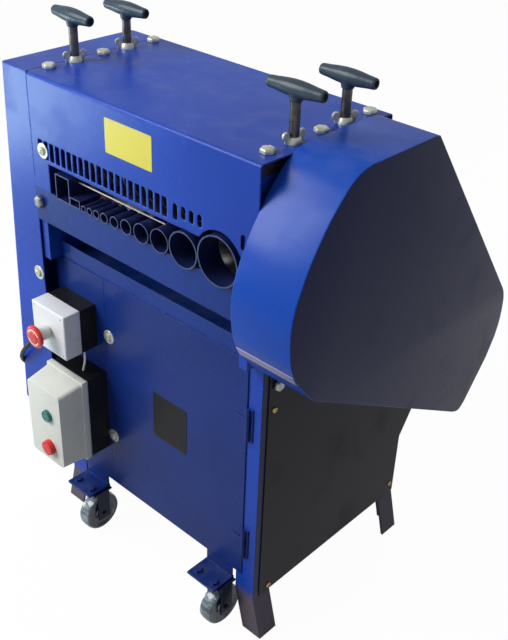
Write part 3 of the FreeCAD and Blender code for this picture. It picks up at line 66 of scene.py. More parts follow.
# The focal length and the view's height are in pixels, the sensor's height in millimetres.
FOCAL, VIEW_HEIGHT, SENSOR = 972.7, 640, 36
right = Vector((math.cos(AZIMUTH), math.sin(AZIMUTH), 0))
back = Vector((math.sin(AZIMUTH) * math.cos(ELEVATION), -math.cos(AZIMUTH) * math.cos(ELEVATION),
               math.sin(ELEVATION)))
up = back.cross(right)
turned_right = right * math.cos(ROLL) - up * math.sin(ROLL)
turned_up = right * math.sin(ROLL) + up * math.cos(ROLL)
axes = Matrix((turned_right, turned_up, back)).transposed().to_4x4()
bpy.ops.object.camera_add()
camera = bpy.context.object
camera.name = "camera"
camera.matrix_world = Matrix.Translation(at(*STANDPOINT)) @ axes
camera.data.lens = SENSOR * FOCAL / VIEW_HEIGHT
camera.data.clip_start = 0.05
bpy.context.scene.camera = camera
print("camera lens", round(camera.data.lens, 2), "mm")

# %% [markdown]
# ## Shader words
# A material here is a chain of small sums. Wrapping each socket in a class with + and * makes the
# chain read like the sentence it stands for, and one method makes every node.


# %% Materials as sums
class Socket:
    """A socket that can be used in sums."""

    def __init__(self, material, output):
        self.material = material
        self.output = output

    def sum(self, operation, *others):
        return self.material.node("ShaderNodeMath", [self, *others], operation=operation)

    def __add__(self, other):
        return self.sum("ADD", other)

    def __sub__(self, other):
        return self.sum("SUBTRACT", other)

    def __mul__(self, other):
        return self.sum("MULTIPLY", other)

    def __truediv__(self, other):
        return self.sum("DIVIDE", other)

    def __radd__(self, other):
        return self + other

    def __rmul__(self, other):
        return self * other

    def __rsub__(self, other):
        return self * -1 + other

    def below(self, limit):
        return self.sum("LESS_THAN", limit)

    def most(self, other):
        return self.sum("MAXIMUM", other)

    def size(self):
        return self.sum("ABSOLUTE")

    def smooth(self, low, high, first=0.0, last=1.0):
        """first below low, last above high, and a smooth change between them."""
        return self.material.node("ShaderNodeMapRange", {0: self, 1: low, 2: high, 3: first, 4: last},
                                  interpolation_type="SMOOTHSTEP")


class Material:
    """A material, or the world's sky, described by a few sums of the place it is asked for."""

    def __init__(self, name, data=None, place="Object"):
        self.data = data or bpy.data.materials.new(name)
        self.data.use_nodes = True
        self.tree = self.data.node_tree
        self.tree.nodes.clear()
        self.place = self.node("ShaderNodeTexCoord", output=place)
        parts = self.raw("ShaderNodeSeparateXYZ", [self.place])
        self.x, self.y, self.z = (Socket(self, output) for output in parts.outputs)

    def raw(self, kind, inputs=(), **settings):
        made = self.tree.nodes.new(kind)
        for key, value in settings.items():
            setattr(made, key, value)
        pairs = inputs.items() if isinstance(inputs, dict) else enumerate(inputs)
        for key, value in pairs:
            if isinstance(value, Socket):
                self.tree.links.new(value.output, made.inputs[key])
            else:
                made.inputs[key].default_value = value
        return made

    def node(self, kind, inputs=(), output=0, **settings):
        return Socket(self, self.raw(kind, inputs, **settings).outputs[output])

    def noise(self, scale, detail=3.0, rough=0.5, stretch=None):
        place = self.place
        if stretch:
            place = self.node("ShaderNodeVectorMath", [place, stretch], operation="MULTIPLY")
        return self.node("ShaderNodeTexNoise", {"Vector": place, "Scale": scale, "Detail": detail,
                                                "Roughness": rough})

    def mix(self, first, second, share):
        """first where share is 0, second where it is 1; both are colours."""
        made = self.raw("ShaderNodeMix", data_type="RGBA")
        for index, value in ((0, share), (6, first), (7, second)):
            if isinstance(value, Socket):
                self.tree.links.new(value.output, made.inputs[index])
            else:
                made.inputs[index].default_value = value
        return Socket(self, made.outputs[2])

    def facing(self):
        """The x, y and z parts of the surface's own direction."""
        normal = self.node("ShaderNodeNewGeometry", output="True Normal")
        parts = self.raw("ShaderNodeSeparateXYZ", [normal])
        return [Socket(self, output) for output in parts.outputs]

    def soft_edge(self, radius):
        """The surface's direction with its edges rounded, and how much of an edge it is."""
        rounded = self.node("ShaderNodeBevel", {"Radius": radius}, samples=6)
        plain = self.node("ShaderNodeNewGeometry", output="Normal")
        likeness = self.node("ShaderNodeVectorMath", [rounded, plain], output="Value",
                             operation="DOT_PRODUCT")
        return rounded, likeness.smooth(0.995, 0.8)

    def bump(self, height, strength, distance, normal=None):
        inputs = {"Strength": strength, "Distance": distance, "Height": height}
        if normal:
            inputs["Normal"] = normal
        return self.node("ShaderNodeBump", inputs)

    def finish(self, **look):
        """The surface. Keys are the shader's inputs, with _ for a space."""
        inputs = {key.replace("_", " "): value for key, value in look.items()}
        surface = self.raw("ShaderNodeBsdfPrincipled", inputs)
        output = self.raw("ShaderNodeOutputMaterial")
        self.tree.links.new(surface.outputs[0], output.inputs[0])
        return self.data


def colour(red, green, blue):
    return (red, green, blue, 1.0)


def paler(tone, times, more):
    return tuple(min(1.0, part * times + more) for part in tone[:3]) + (1.0,)


print("socket sums ready")


# %% [markdown]
# ## Enamel
# The sheet steel is sprayed and stoved. Such paint is glossy, has the fine waves called orange
# peel, is thin and pale along sharp edges, and gathers a little dust and a few rubbed places. The
# pale edges are also a painted highlight, and a darker colour on faces that look to the right is a
# painted shade. Each of these is one mask that mixes a colour in, so that one function makes every
# sheet's paint.


# %% Enamel paint
def enamel(name, base, deep, gloss=0.26, edge=0.35, seam=None, painted_shade_right=None, dark_low=None,
           fold=1.6):
    """base and deep are the paint's clouds; edge is how pale its edges are, from wear and a painted
    highlight, fold their radius.
    """
    m = Material(name)
    rounded, rim = m.soft_edge(fold / 1000)
    cloud = m.noise(3.2, 2.0)
    speck = m.noise(160.0, 2.0)
    tone = m.mix(base, deep, cloud.smooth(0.35, 0.7))
    # Pale edges: worn paint, and a painted highlight along the folds.
    wear_and_highlight = rim * m.noise(60.0, 3.0).smooth(0.35, 0.6) * edge
    tone = m.mix(tone, paler(base, 1.6, 0.06), wear_and_highlight)
    across, along, upward = m.facing()
    dust = upward.smooth(0.6, 1.0) * m.noise(22.0, 4.0).smooth(0.4, 0.8) * 0.05
    tone = m.mix(tone, colour(0.5, 0.52, 0.58), dust)
    # Faces that look to the right take a darker colour: a painted shade.
    if painted_shade_right:
        tone = m.mix(tone, painted_shade_right, across.smooth(0.75, 0.95))
    if dark_low:
        tone = m.mix(tone, dark_low, m.z.smooth(0.10, 0.07))
    if seam is not None:
        near = (m.x - at(seam, 0, 0).x).size().smooth(0.0016, 0.0010) * upward.smooth(0.5, 0.9)
        tone = m.mix(tone, colour(0.003, 0.004, 0.01), near)
    rubbed = m.noise(9.0, 5.0, 0.62).smooth(0.5, 0.72) * 0.12 + speck * 0.01 + gloss
    peel = m.noise(260.0, 2.0)
    return m.finish(Base_Color=tone, Roughness=rubbed, Specular_IOR_Level=0.17,
                    Normal=m.bump(peel, 0.02, 0.0006, rounded))


BLUE, DEEP_BLUE = colour(0.010, 0.052, 0.37), colour(0.008, 0.042, 0.31)
# A dark navy painted as the shade on the drive cover's right-facing outer face.
RIGHT_SIDE_SHADE = colour(0.010, 0.015, 0.068)
blue = enamel("blue_enamel", BLUE, DEEP_BLUE)
# The hood's and left cover's edges are paler still: wear, and mostly a painted highlight on the front
# fold.
blue_seamed = enamel("blue_enamel_seamed", BLUE, DEEP_BLUE, edge=0.9, seam=-477, fold=3.2)
# The tube board and chute lip wear the machine's blue made darker: a painted shade.
blue_board_painted_shade = enamel("blue_enamel_board", colour(0.007, 0.034, 0.22), colour(0.004, 0.024, 0.15))
# The door, front panel, hinges and caster brackets wear the machine's blue made darker: a painted
# shade.
blue_door_painted_shade = enamel("blue_enamel_door", colour(0.006, 0.025, 0.165), colour(0.004, 0.019, 0.13))
blue_fork = enamel("blue_enamel_forks", colour(0.006, 0.010, 0.045), colour(0.004, 0.007, 0.03))
blue_cover = enamel("blue_enamel_drive_cover", colour(0.010, 0.068, 0.41),
                    colour(0.008, 0.056, 0.36), painted_shade_right=RIGHT_SIDE_SHADE)
# The legs' right-facing sides take a darker colour: a painted shade.
blue_leg = enamel("blue_enamel_legs", BLUE, DEEP_BLUE, painted_shade_right=colour(0.014, 0.018, 0.075),
                  dark_low=colour(0.09, 0.07, 0.10))
# The right panel's near-black stands for the machine's blue in shade: a painted shade.
dark = enamel("dark_enamel", colour(0.006, 0.0055, 0.011), colour(0.004, 0.0035, 0.007), gloss=0.34)
print("enamels made")


# %% [markdown]
# ## Metals, plastics and rubber
# Zinc plate is pale with a yellow bloom, turned steel shows the rings the tool left, cast iron is
# grainy, and the moulded boxes have a fine sparked grain and a little grime. Two functions make
# them all: metals differ by their tool marks, plastics by their grime and shine.


# %% Metals
def metal(name, first, second, rough, grain=0.08, rings=None, metallic=1.0):
    """Two tones in clouds; rings is the axis and the number of tool marks, in radians a metre."""
    m = Material(name)
    rounded, rim = m.soft_edge(0.0006)
    bloom = m.noise(70.0, 4.0)
    tone = m.mix(first, second, bloom.smooth(0.35, 0.7))
    # Pale edges: a painted highlight.
    tone = m.mix(tone, colour(0.85, 0.85, 0.82), rim * 0.35)
    height = m.noise(1080.0, 2.0)
    if rings:
        wave = (getattr(m, rings[0]) * rings[1]).sum("SINE") * 0.5 + 0.5
        height = wave * 0.8 + height * 0.3
    return m.finish(Base_Color=tone, Metallic=metallic, Roughness=bloom * 0.18 + rough,
                    Normal=m.bump(height, grain, 0.0005, rounded))


zinc = metal("bright_zinc", colour(0.66, 0.68, 0.62), colour(0.42, 0.43, 0.3), 0.26, metallic=0.45)
brass = metal("brass_screws", colour(0.62, 0.42, 0.14), colour(0.4, 0.24, 0.08), 0.28)
steel = metal("turned_steel", colour(0.16, 0.16, 0.16), colour(0.09, 0.085, 0.08), 0.42,
              rings=("x", 5200.0), grain=0.2)
tool_steel = metal("ground_steel", colour(0.22, 0.22, 0.23), colour(0.14, 0.14, 0.14), 0.35,
                   grain=0.05)
old_steel = metal("old_steel", colour(0.30, 0.30, 0.34), colour(0.10, 0.08, 0.07), 0.3,
                  metallic=0.6)
screw_steel = metal("screw_steel", colour(0.17, 0.155, 0.14), colour(0.09, 0.08, 0.07), 0.3,
                    rings=("z", 2 * math.pi / 0.002), grain=0.12)
iron = metal("cast_iron", colour(0.12, 0.12, 0.12), colour(0.07, 0.065, 0.06), 0.5, grain=0.5)
alloy = metal("cast_aluminium", colour(0.42, 0.43, 0.45), colour(0.33, 0.34, 0.35), 0.42,
              grain=0.35)
print("metals made")


# %% Plastics and rubber
def moulded(name, base, grime, rough=0.35, grain=0.12, coat=0.0, grime_share=0.25):
    """base with a little grime in clouds, paler edges as a painted highlight, and a fine sparked
    grain.
    """
    m = Material(name)
    rounded, rim = m.soft_edge(0.0008)
    cloud = m.noise(26.0, 5.0, 0.6)
    tone = m.mix(base, grime, cloud.smooth(0.52, 0.78) * grime_share)
    # Paler edges: a painted highlight.
    tone = m.mix(tone, paler(base, 1.25, 0.02), rim * 0.5)
    scuff = m.noise(45.0, 4.0, 0.6, stretch=(1.0, 1.0, 5.0)).smooth(0.5, 0.8)
    return m.finish(Base_Color=tone, Roughness=scuff * 0.14 + rough, Coat_Weight=coat,
                    Specular_IOR_Level=0.22,
                    Normal=m.bump(m.noise(900.0, 2.0), grain, 0.0004, rounded))


grip_plastic = moulded("grip_plastic", colour(0.035, 0.055, 0.075), colour(0.12, 0.13, 0.14),
                       0.28, grime_share=0.35)
black_plastic = moulded("black_plastic", colour(0.008, 0.008, 0.009), colour(0.03, 0.03, 0.035),
                        0.42)
cream_plastic = moulded("cream_plastic", colour(0.62, 0.62, 0.56), colour(0.4, 0.37, 0.28), 0.3)
grey_plastic = moulded("grey_plastic", colour(0.70, 0.70, 0.71), colour(0.45, 0.42, 0.36), 0.3)
green_plastic = moulded("green_plastic", colour(0.01, 0.14, 0.115), colour(0.01, 0.08, 0.07),
                        0.25, coat=0.4)
red_plastic = moulded("red_plastic", colour(0.6, 0.018, 0.018), colour(0.35, 0.01, 0.01), 0.25,
                      coat=0.4)
sheath = moulded("lead_sheath", colour(0.012, 0.012, 0.014), colour(0.04, 0.04, 0.04), 0.38)
white_wire = moulded("white_wire", colour(0.75, 0.75, 0.74), colour(0.5, 0.48, 0.42), 0.3)
belt_rubber = moulded("belt_rubber", colour(0.015, 0.015, 0.015), colour(0.05, 0.045, 0.04), 0.6,
                      grain=0.5)
# Pale mauve for the lit bands on the drive cover's folded chin: a painted highlight.
chin_highlight_paint = moulded("edging_strip", colour(0.30, 0.27, 0.42), colour(0.19, 0.17, 0.29), 0.35,
                 grain=0.05)
pale_rod = moulded("pale_rod", colour(0.6, 0.54, 0.58), colour(0.42, 0.36, 0.4), 0.35, grain=0.05)
vinyl_yellow = moulded("yellow_vinyl", colour(0.62, 0.55, 0.07), colour(0.45, 0.4, 0.1), 0.3,
                       grain=0.03)
vinyl_black = moulded("black_vinyl", colour(0.004, 0.004, 0.005), colour(0.012, 0.012, 0.013),
                      0.4, grain=0.03)
print("plastics and rubber made")


# %% [markdown]
# ## Guide tubes
# The tubes are sawn from pipe, painted after welding, and filed at the mouth, which leaves it paler.
# The filed rim could be a piece of its own, but it is simply where the surface looks straight
# forward, so the paint finds it by its direction. The thin bright line along each rim's edges is a
# painted highlight.


# %% Tube paint
def tube_enamel():
    m = Material("tube_enamel")
    rounded, rim = m.soft_edge(0.0005)
    across, along, upward = m.facing()
    mouth = along.smooth(-0.7, -0.95) * m.y.below(at(0, -3.2, 0).y)
    tone = m.mix(colour(0.010, 0.018, 0.09), colour(0.006, 0.01, 0.04), m.noise(14.0, 3.0))
    filed = mouth * m.noise(120.0, 3.0).smooth(0.3, 0.55, 0.45, 1.0)
    tone = m.mix(tone, colour(0.035, 0.055, 0.16), filed)
    # Pale edges: a painted highlight, the bright line round each rim.
    tone = m.mix(tone, colour(0.22, 0.3, 0.5), rim * 0.55)
    return m.finish(Base_Color=tone, Roughness=m.noise(40.0) * 0.2 + 0.22, Metallic=filed * 0.4,
                    Normal=m.bump(m.noise(500.0, 2.0), 0.06, 0.0005, rounded))


tube_paint = tube_enamel()
print("tube paint made")


# %% [markdown]
# ## Dressing the frame's own pieces
# The folded sheets, bars, rollers and pulleys already have their true shapes, so they only need
# the right material in their slots.

# %% Materials on the frame's pieces
DRESS = {
    blue_seamed: ["hood", "left_cover"],
    blue: ["right_side_plate", "left_side_plate", "stand_frame", "stand_top", "left_panel",
           "back_panel"],
    blue_board_painted_shade: ["tube_board", "chute_lip"],
    blue_door_painted_shade: ["front_panel", "door", "frame_hinges", "door_hinges", "caster_brackets"],
    blue_fork: ["caster_forks"],
    blue_cover: ["drive_cover"],
    blue_leg: ["legs"],
    dark: ["right_panel", "motor_housing"],
    tube_paint: ["large_guide_tubes", "small_guide_tubes"],
    zinc: ["hood_bolts", "front_screws", "door_screws", "front_right_wing_nut",
           "front_left_wing_nut", "rear_right_wing_nut", "rear_left_wing_nut"],
    brass: ["panel_screws"],
    steel: ["screw_bars", "front_bearing_blocks", "rear_bearing_blocks", "rear_upper_roller",
            "front_lower_roller", "rear_lower_roller", "drive_shaft"],
    tool_steel: ["cutter_shaft"],
    iron: ["drive_pulley", "motor_pulley"],
    alloy: ["motor"],
    belt_rubber: ["drive_belt"],
    grip_plastic: ["front_right_handle", "front_left_handle", "rear_right_handle",
                   "rear_left_handle"],
    black_plastic: ["stop_box_base", "starter_base", "mains_gland", "right_wheel", "left_wheel"],
    grey_plastic: ["stop_box_cover"],
    cream_plastic: ["starter_cover"],
    red_plastic: ["stop_button", "off_button"],
    green_plastic: ["start_button"],
    sheath: ["mains_lead", "mains_coil", "mains_plug"],
    white_wire: ["link_cable"],
}
for material, names in DRESS.items():
    for name in names:
        for place in NODES[name].material_slots:
            place.material = material
undressed = sorted(set(NODES) - {name for names in DRESS.values() for name in names})
print("pieces without a material:", undressed)


# %% [markdown]
# ## Hand tools for modelling
# Most of the small parts are turned, sawn or moulded, so three moves cover nearly all of them: a
# circle drawn out ring by ring, a block with softened edges, and one shape cut from another.


# %% Modelling moves
def only(*pieces):
    bpy.ops.object.select_all(action="DESELECT")
    for piece in pieces:
        piece.select_set(True)
    bpy.context.view_layer.objects.active = pieces[0]


def settle(piece):
    """Puts the piece's place into its mesh."""
    only(piece)
    bpy.ops.object.transform_apply(location=True, rotation=True, scale=True)
    return piece


QUARTER = math.pi / 2
AIM = {"z": (0, 0, 0), "-y": (QUARTER, 0, 0), "y": (-QUARTER, 0, 0), "x": (0, QUARTER, 0),
       "-x": (0, -QUARTER, 0)}


def turned(name, rings, place, aim="z", sides=48, spin=0.0):
    """A circle drawn out ring by ring: (radius, distance) pairs along aim from place."""
    bpy.ops.object.select_all(action="DESELECT")
    bpy.ops.mesh.primitive_circle_add(vertices=sides, radius=rings[0][0] / 1000, fill_type="NGON")
    piece = bpy.context.object
    piece.name = name
    bpy.ops.object.mode_set(mode="EDIT")
    bpy.ops.mesh.select_all(action="SELECT")
    bpy.ops.transform.translate(value=(0, 0, rings[0][1] / 1000))
    for (radius, height), (wider, higher) in zip(rings, rings[1:]):
        step = (0, 0, (higher - height) / 1000)
        bpy.ops.mesh.extrude_region_move(TRANSFORM_OT_translate={"value": step})
        share = wider / radius
        bpy.ops.transform.resize(value=(share, share, 1), center_override=(0, 0, higher / 1000))
    bpy.ops.mesh.select_all(action="SELECT")
    bpy.ops.mesh.normals_make_consistent(inside=False)
    bpy.ops.object.mode_set(mode="OBJECT")
    piece.rotation_euler = (0, 0, spin)
    settle(piece)
    piece.rotation_euler = AIM[aim]
    piece.location = at(*place)
    return settle(piece)


def block(name, low, high):
    """A box from its lowest to its highest corner."""
    low, high = at(*low), at(*high)
    bpy.ops.object.select_all(action="DESELECT")
    bpy.ops.mesh.primitive_cube_add(size=1, location=(low + high) / 2)
    piece = bpy.context.object
    piece.name = name
    piece.scale = high - low
    return settle(piece)


def changed(piece, kind, **settings):
    """Adds a modifier and applies it."""
    only(piece)
    modifier = piece.modifiers.new(kind.lower(), kind)
    for key, value in settings.items():
        setattr(modifier, key, value)
    bpy.ops.object.modifier_apply(modifier=modifier.name)
    return piece


def softened(piece, radius, segments=3, angle=35):
    return changed(piece, "BEVEL", width=radius / 1000, segments=segments, limit_method="ANGLE",
                   angle_limit=math.radians(angle))


def carved(piece, *tools):
    """Takes the tools' shapes out of the piece."""
    for tool in tools:
        changed(piece, "BOOLEAN", operation="DIFFERENCE", object=tool, solver="EXACT")
        bpy.data.objects.remove(tool)
    return piece


def joined(name, *pieces):
    only(*pieces)
    bpy.ops.object.join()
    pieces[0].name = name
    return pieces[0]


def worn_by(piece, *materials):
    piece.data.materials.clear()
    for material in materials:
        piece.data.materials.append(material)
    return piece


def mounted(piece, body, replaces=()):
    """Smooths the finished piece between its edges and hands it to the body that carries it."""
    only(piece)
    bpy.ops.object.shade_smooth_by_angle(angle=math.radians(35))
    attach(piece, body)
    if replaces:
        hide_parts(*replaces)
    return piece


def faces_toward(piece, direction, span=0.98):
    """Enters edit mode with only the faces that look along direction selected."""
    only(piece)
    bpy.ops.object.mode_set(mode="EDIT")
    bpy.ops.mesh.select_mode(type="FACE")
    mesh = bmesh.from_edit_mesh(piece.data)
    for face in mesh.faces:
        face.select_set(face.normal.dot(Vector(direction)) > span)
    bmesh.update_edit_mesh(piece.data)


def edges_along(piece, test):
    """Enters edit mode with only the edges selected whose run from end to end passes the test."""
    only(piece)
    bpy.ops.object.mode_set(mode="EDIT")
    bpy.ops.mesh.select_mode(type="EDGE")
    mesh = bmesh.from_edit_mesh(piece.data)
    for edge in mesh.edges:
        edge.select_set(test(edge.verts[0].co - edge.verts[1].co))
    bmesh.update_edit_mesh(piece.data)


def leave_edit():
    bpy.ops.object.mode_set(mode="OBJECT")


def swung(piece, hinge, angle, axis):
    """Turns the piece's mesh about a point."""
    turn = Matrix.Rotation(angle, 4, axis)
    piece.data.transform(Matrix.Translation(hinge) @ turn @ Matrix.Translation(-hinge))
    return piece


print("moves ready, aims", sorted(AIM))


# %% [markdown]
# ## Mains lead
# A round rubber lead leaves the stop box, rounds the left cover and lies coiled behind the machine.
# It is one smooth line through a few points, the turns of the coil included, given a round section,
# because a line bends evenly where a row of short rods would show its joints.

# %% Mains lead
LEAD = [
    (-471, -14, 436),
    (-487, -14, 406),
    (-511, -14, 370),
    (-540, -15, 340),
    (-566, -6, 304),
    (-585, 24, 266),
    (-590, 76, 222),
    (-590, 150, 140),
    (-580, 226, 56),
    (-566, 318, 4),
    (-548, 392, 4),
    (-518, 448, 4),
]
COIL_CENTRE = (-404, 474)
TURNS = 3
STEPS = 8


def coil_point(step):
    """A point of the loose coil: each turn is a little larger or smaller than the last."""
    turn = step / STEPS
    angle = math.radians(120) - 2 * math.pi * turn
    radius = 47 + 2.5 * math.sin(2.3 * turn + 0.6)
    return (COIL_CENTRE[0] + radius * math.cos(angle), COIL_CENTRE[1] + radius * math.sin(angle),
            4.2 + 7.6 * turn)


COIL_START = (-475.8, 490.3, 4)
TO_PLUG = [(-392, 520.5, 22), (-378, 520, 14), (-366, 520, 10)]
coil = [coil_point(step) for step in range(TURNS * STEPS + 1)]
route = LEAD + [COIL_START] + coil + TO_PLUG


def flex(name, points, radius, material):
    """A round line through the points' own smooth curve."""
    curve = bpy.data.curves.new(name, "CURVE")
    curve.dimensions = "3D"
    curve.bevel_depth = radius / 1000
    curve.bevel_resolution = 5
    curve.resolution_u = 10
    curve.use_fill_caps = True
    spline = curve.splines.new("NURBS")
    spline.points.add(len(points) - 1)
    for knot, point in zip(spline.points, points):
        knot.co = (*at(*point), 1.0)
    spline.order_u = 3
    spline.use_endpoint_u = True
    piece = bpy.data.objects.new(name, curve)
    bpy.context.scene.collection.objects.link(piece)
    piece.data.materials.append(material)
    return piece


def run_length(piece):
    """The curve's own length, in metres."""
    copy = piece.data.copy()
    copy.bevel_depth = 0
    thin = bpy.data.objects.new("thin", copy)
    mesh = bpy.data.meshes.new_from_object(thin)
    ends = [[mesh.vertices[index].co for index in edge.vertices] for edge in mesh.edges]
    total = sum((first - last).length for first, last in ends)
    bpy.data.objects.remove(thin)
    return total


lead = flex("mains_lead_curve", route, 4, sheath)
print("mains lead", round(run_length(lead), 3), "m")
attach(lead, "machine")
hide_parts("mains_lead", "mains_coil")
round(run_length(lead), 3)

LINK = [
    (-385.5, 3, 409.5),
    (-382, 2, 399),
    (-380, 0, 387),
    (-382.5, -1, 374.5),
    (-387, 0, 363),
]
link = flex("link_wire", LINK, 1.8, white_wire)
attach(link, "machine")
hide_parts("link_cable")
round(run_length(link), 3)

# %% [markdown]
# ## Hood bolts
# Six hexagon bolts hold the hood down, three on a side: before, between and behind the adjusting
# screws. Their tops are chamfered, so the corners show as shallow arcs. A circle of six points,
# drawn up and then in, gives that head, and a small bevel catches the light on its edges.


# %% Hexagon bolts
HOOD_TOP = 862
SIDES = RIGHT, LEFT = -22, -467
PITCH = 105
FIRST_BOLT, FRONT_SCREW = 36, 85
REAR_SCREW = FRONT_SCREW + PITCH


def hex_head(name, place, aim, spin, across=19.0, height=7.0):
    corner = across / 2 / math.cos(math.radians(30))
    rings = [(corner, 0.0), (corner, height * 0.72), (corner * 0.84, height)]
    return softened(turned(name, rings, place, aim, 6, spin), 1.0, 3, 20)


bolts = [
    hex_head(f"hood_bolt_{side}_{number}", (x, FIRST_BOLT + PITCH * number, HOOD_TOP), "z",
             0.4 + 0.7 * number + side)
    for side, x in enumerate(SIDES)
    for number in range(3)
]
hood_bolts = worn_by(joined("hood_bolts_shaped", *bolts), zinc)
mounted(hood_bolts, "machine", ["hood_bolts"])
print("bolts", len(bolts))


# %% [markdown]
# ## Cross-recessed screws on broad washers
# They hold the covers and the door's free edge: a broad flat washer, a domed head and a cross.
# Washer and head are turned, and two blocks at right angles are cut out of the head, because a
# real recess keeps its own shadow and a painted cross would not.


# %% Washered screws
WASHER = [(12.5, 0), (12.5, 1.0), (12, 1.5), (6, 1.6)]
DOME = [(7, 1.5), (7, 3.0), (6.2, 4.6), (4.2, 5.5), (1.5, 5.9)]


def cross_screw(name, place, spin):
    washer = turned(name, WASHER, place, "-y", 48)
    head = turned(name + "_head", DOME, place, "-y", 32)
    x, y, z = place
    arms = []
    for number, angle in enumerate((spin, spin + QUARTER)):
        arm = block(f"{name}_arm_{number}", (x - 4.2, y - 8, z - 0.7), (x + 4.2, y - 3.4, z + 0.7))
        arms.append(swung(arm, at(*place), angle, "Y"))
    carved(head, *arms)
    return joined(name, washer, head)


front = [cross_screw("hood_screw", (-449, 0, 744), 0.5),
         cross_screw("side_cover_screw", (-489, 0, 514), 0.2)]
board_bolts = [hex_head(f"board_bolt_{-x}", (x, 0, 653), "-y", 0.3) for x in SIDES]
# The board's left bolt has lost its plating.
for screw in front + board_bolts:
    worn_by(screw, old_steel if screw is board_bolts[1] else zinc)
mounted(joined("front_screws_shaped", *front, *board_bolts), "machine", ["front_screws"])
door_pair = [cross_screw("door_screw_high", (-343.5, 25, 441), 0.9),
             cross_screw("door_screw_low", (-343.5, 25, 233), 0.3)]
door_screws = worn_by(joined("door_screws_shaped", *door_pair), zinc)
mounted(door_screws, "door_body", ["door_screws"])

PANEL_SCREWS = ((53, 462), (62, 90), (401, 101), (401, 528))
BRASS_DOME = [(5, 0), (5, 1.0), (4.3, 2.2), (2.4, 2.9)]
brass_heads = [
    turned(f"panel_screw_{number}", BRASS_DOME, (-1.2, y, z), "x", 28)
    for number, (y, z) in enumerate(PANEL_SCREWS)
]
for number, (y, z) in enumerate(PANEL_SCREWS):
    tools = [block(f"slot_{number}_a", (0.4, y - 3.2, z - 0.5), (4, y + 3.2, z + 0.5)),
             block(f"slot_{number}_b", (0.4, y - 0.5, z - 3.2), (4, y + 0.5, z + 3.2))]
    carved(brass_heads[number], *tools)
panel_screws = worn_by(joined("panel_screws_shaped", *brass_heads), brass)
mounted(panel_screws, "machine", ["panel_screws"])
print("screws made")

# %% [markdown]
# ## T-handles
# Each adjusting screw ends in a moulded T grip: a bar that thins towards its ends, with a dark
# hollow in each end face, on a waisted hub. Bar and hub are turned apart, melted into one another
# by a voxel remesh and smoothed, which gives the mould's round inner corners.


# %% T-handles
STEM, NUT_GAP = 7, 0.05
FOOT, ROOT = HOOD_TOP + 2, HOOD_TOP + 12
BAR = [(7.0, 45), (7.8, 43.5), (8.8, 32), (10.6, 17), (11.4, 6)]
HUB = [(8.0, -16), (9.2, -15), (9.4, -11), (10.4, -6), (11, 0)]
CONE = [(11.5, 0), (11.5, 1.5), (9.8, 7.5), (8.6, 9)]
WING = [(4.8, -1.9), (5.8, -1.2), (5.8, 1.2), (4.8, 1.9)]


def t_grip(name, x, y, middle, yaw):
    """The moulded bar and hub melt into one another; the steel stem goes down from the hub."""
    rings = [(radius, -reach) for radius, reach in BAR] + list(reversed(BAR))
    bar = turned(name, rings, (x, y, middle), "x", 40)
    hub = turned(name + "_hub", HUB, (x, y, middle), "z", 40)
    grip = joined(name, bar, hub)
    changed(grip, "REMESH", mode="VOXEL", voxel_size=0.001)
    changed(grip, "SMOOTH", factor=0.5, iterations=9)
    for way, aim in ((1, "x"), (-1, "-x")):
        end = (x + way * 44, y, middle)
        carved(grip, turned(f"{name}_hollow", [(4.6, -5), (5.0, 4)], end, aim, 28))
    worn_by(grip, grip_plastic)
    stem = turned(name + "_stem", [(STEM, 778), (STEM, middle - 15)], (x, y, 0), "z", 48)
    worn_by(stem, screw_steel)
    return swung(joined(name, grip, stem), at(x, y, 0), yaw, "Z")


def wing_nut(name, x, y, yaw):
    """A cone with a bore, and two round wings that lean outwards on flat roots."""
    cone = turned(name, CONE, (x, y, HOOD_TOP), "z", 40)
    bore = turned(name + "_bore", [(STEM + NUT_GAP, HOOD_TOP - 7), (STEM + NUT_GAP, HOOD_TOP + 28)],
                  (x, y, 0), "z", 36)
    parts = [carved(cone, bore)]
    for way in (1, -1):
        wing = turned(f"{name}_wing", WING, (x + way * 12, y, ROOT), "y", 28)
        middle = x + way * 11.5
        root = block(f"{name}_root", (middle - 3.5, y - 1.8, FOOT), (middle + 3.5, y + 1.8, ROOT))
        softened(root, 1.0, 2)
        wing = joined(f"{name}_wing", wing, root)
        parts.append(swung(wing, at(x + way * 8, y, FOOT), way * 0.2, "Y"))
    return worn_by(swung(joined(name, *parts), at(x, y, 0), yaw, "Z"), zinc)


# Each is x, y, the bar's height, and how far the handle and its nut are turned.
HANDLES = {
    "front_right": (RIGHT, FRONT_SCREW, 933, 0.04, 1.45),
    "rear_right": (RIGHT, REAR_SCREW, 926, 0.03, 1.1),
    "front_left": (LEFT, FRONT_SCREW, 931, -0.03, 1.35),
    "rear_left": (LEFT, REAR_SCREW, 924, 0.06, 1.15),
}
for name, (x, y, middle, yaw, nut_yaw) in HANDLES.items():
    grip = t_grip(name + "_t_grip", x, y, middle, yaw)
    mounted(grip, name + "_screw", [name + "_handle"])
    nut = wing_nut(name + "_winged_nut", x, y, nut_yaw)
    mounted(nut, name + "_nut", [name + "_wing_nut"])
print("handles made")


# %% [markdown]
# ## Moulded boxes
# The stop and starter boxes are two-part mouldings with round edges. The starter's cover slopes so
# that it leaves the mould: a block's front is inset, drawn forward and shrunk. Then the back is
# opened and the skin given a wall, so that the button holes show their depth.


# %% Box covers
WALL = 2.4
RIM = 1.8
# The buttons' middles are (x, z), and FACE is the starter's front, wide and tall.
START, OFF, STOP = (-393, 304), (-393, 237), (-417.5, 449)
FACE = (86, 150)
STARTER_FRONT, STOP_FRONT = -75, -41
START_RADIUS, OFF_RADIUS, SHANK_RADIUS = 11, 14, 8
BUTTON_GAP = 0.1


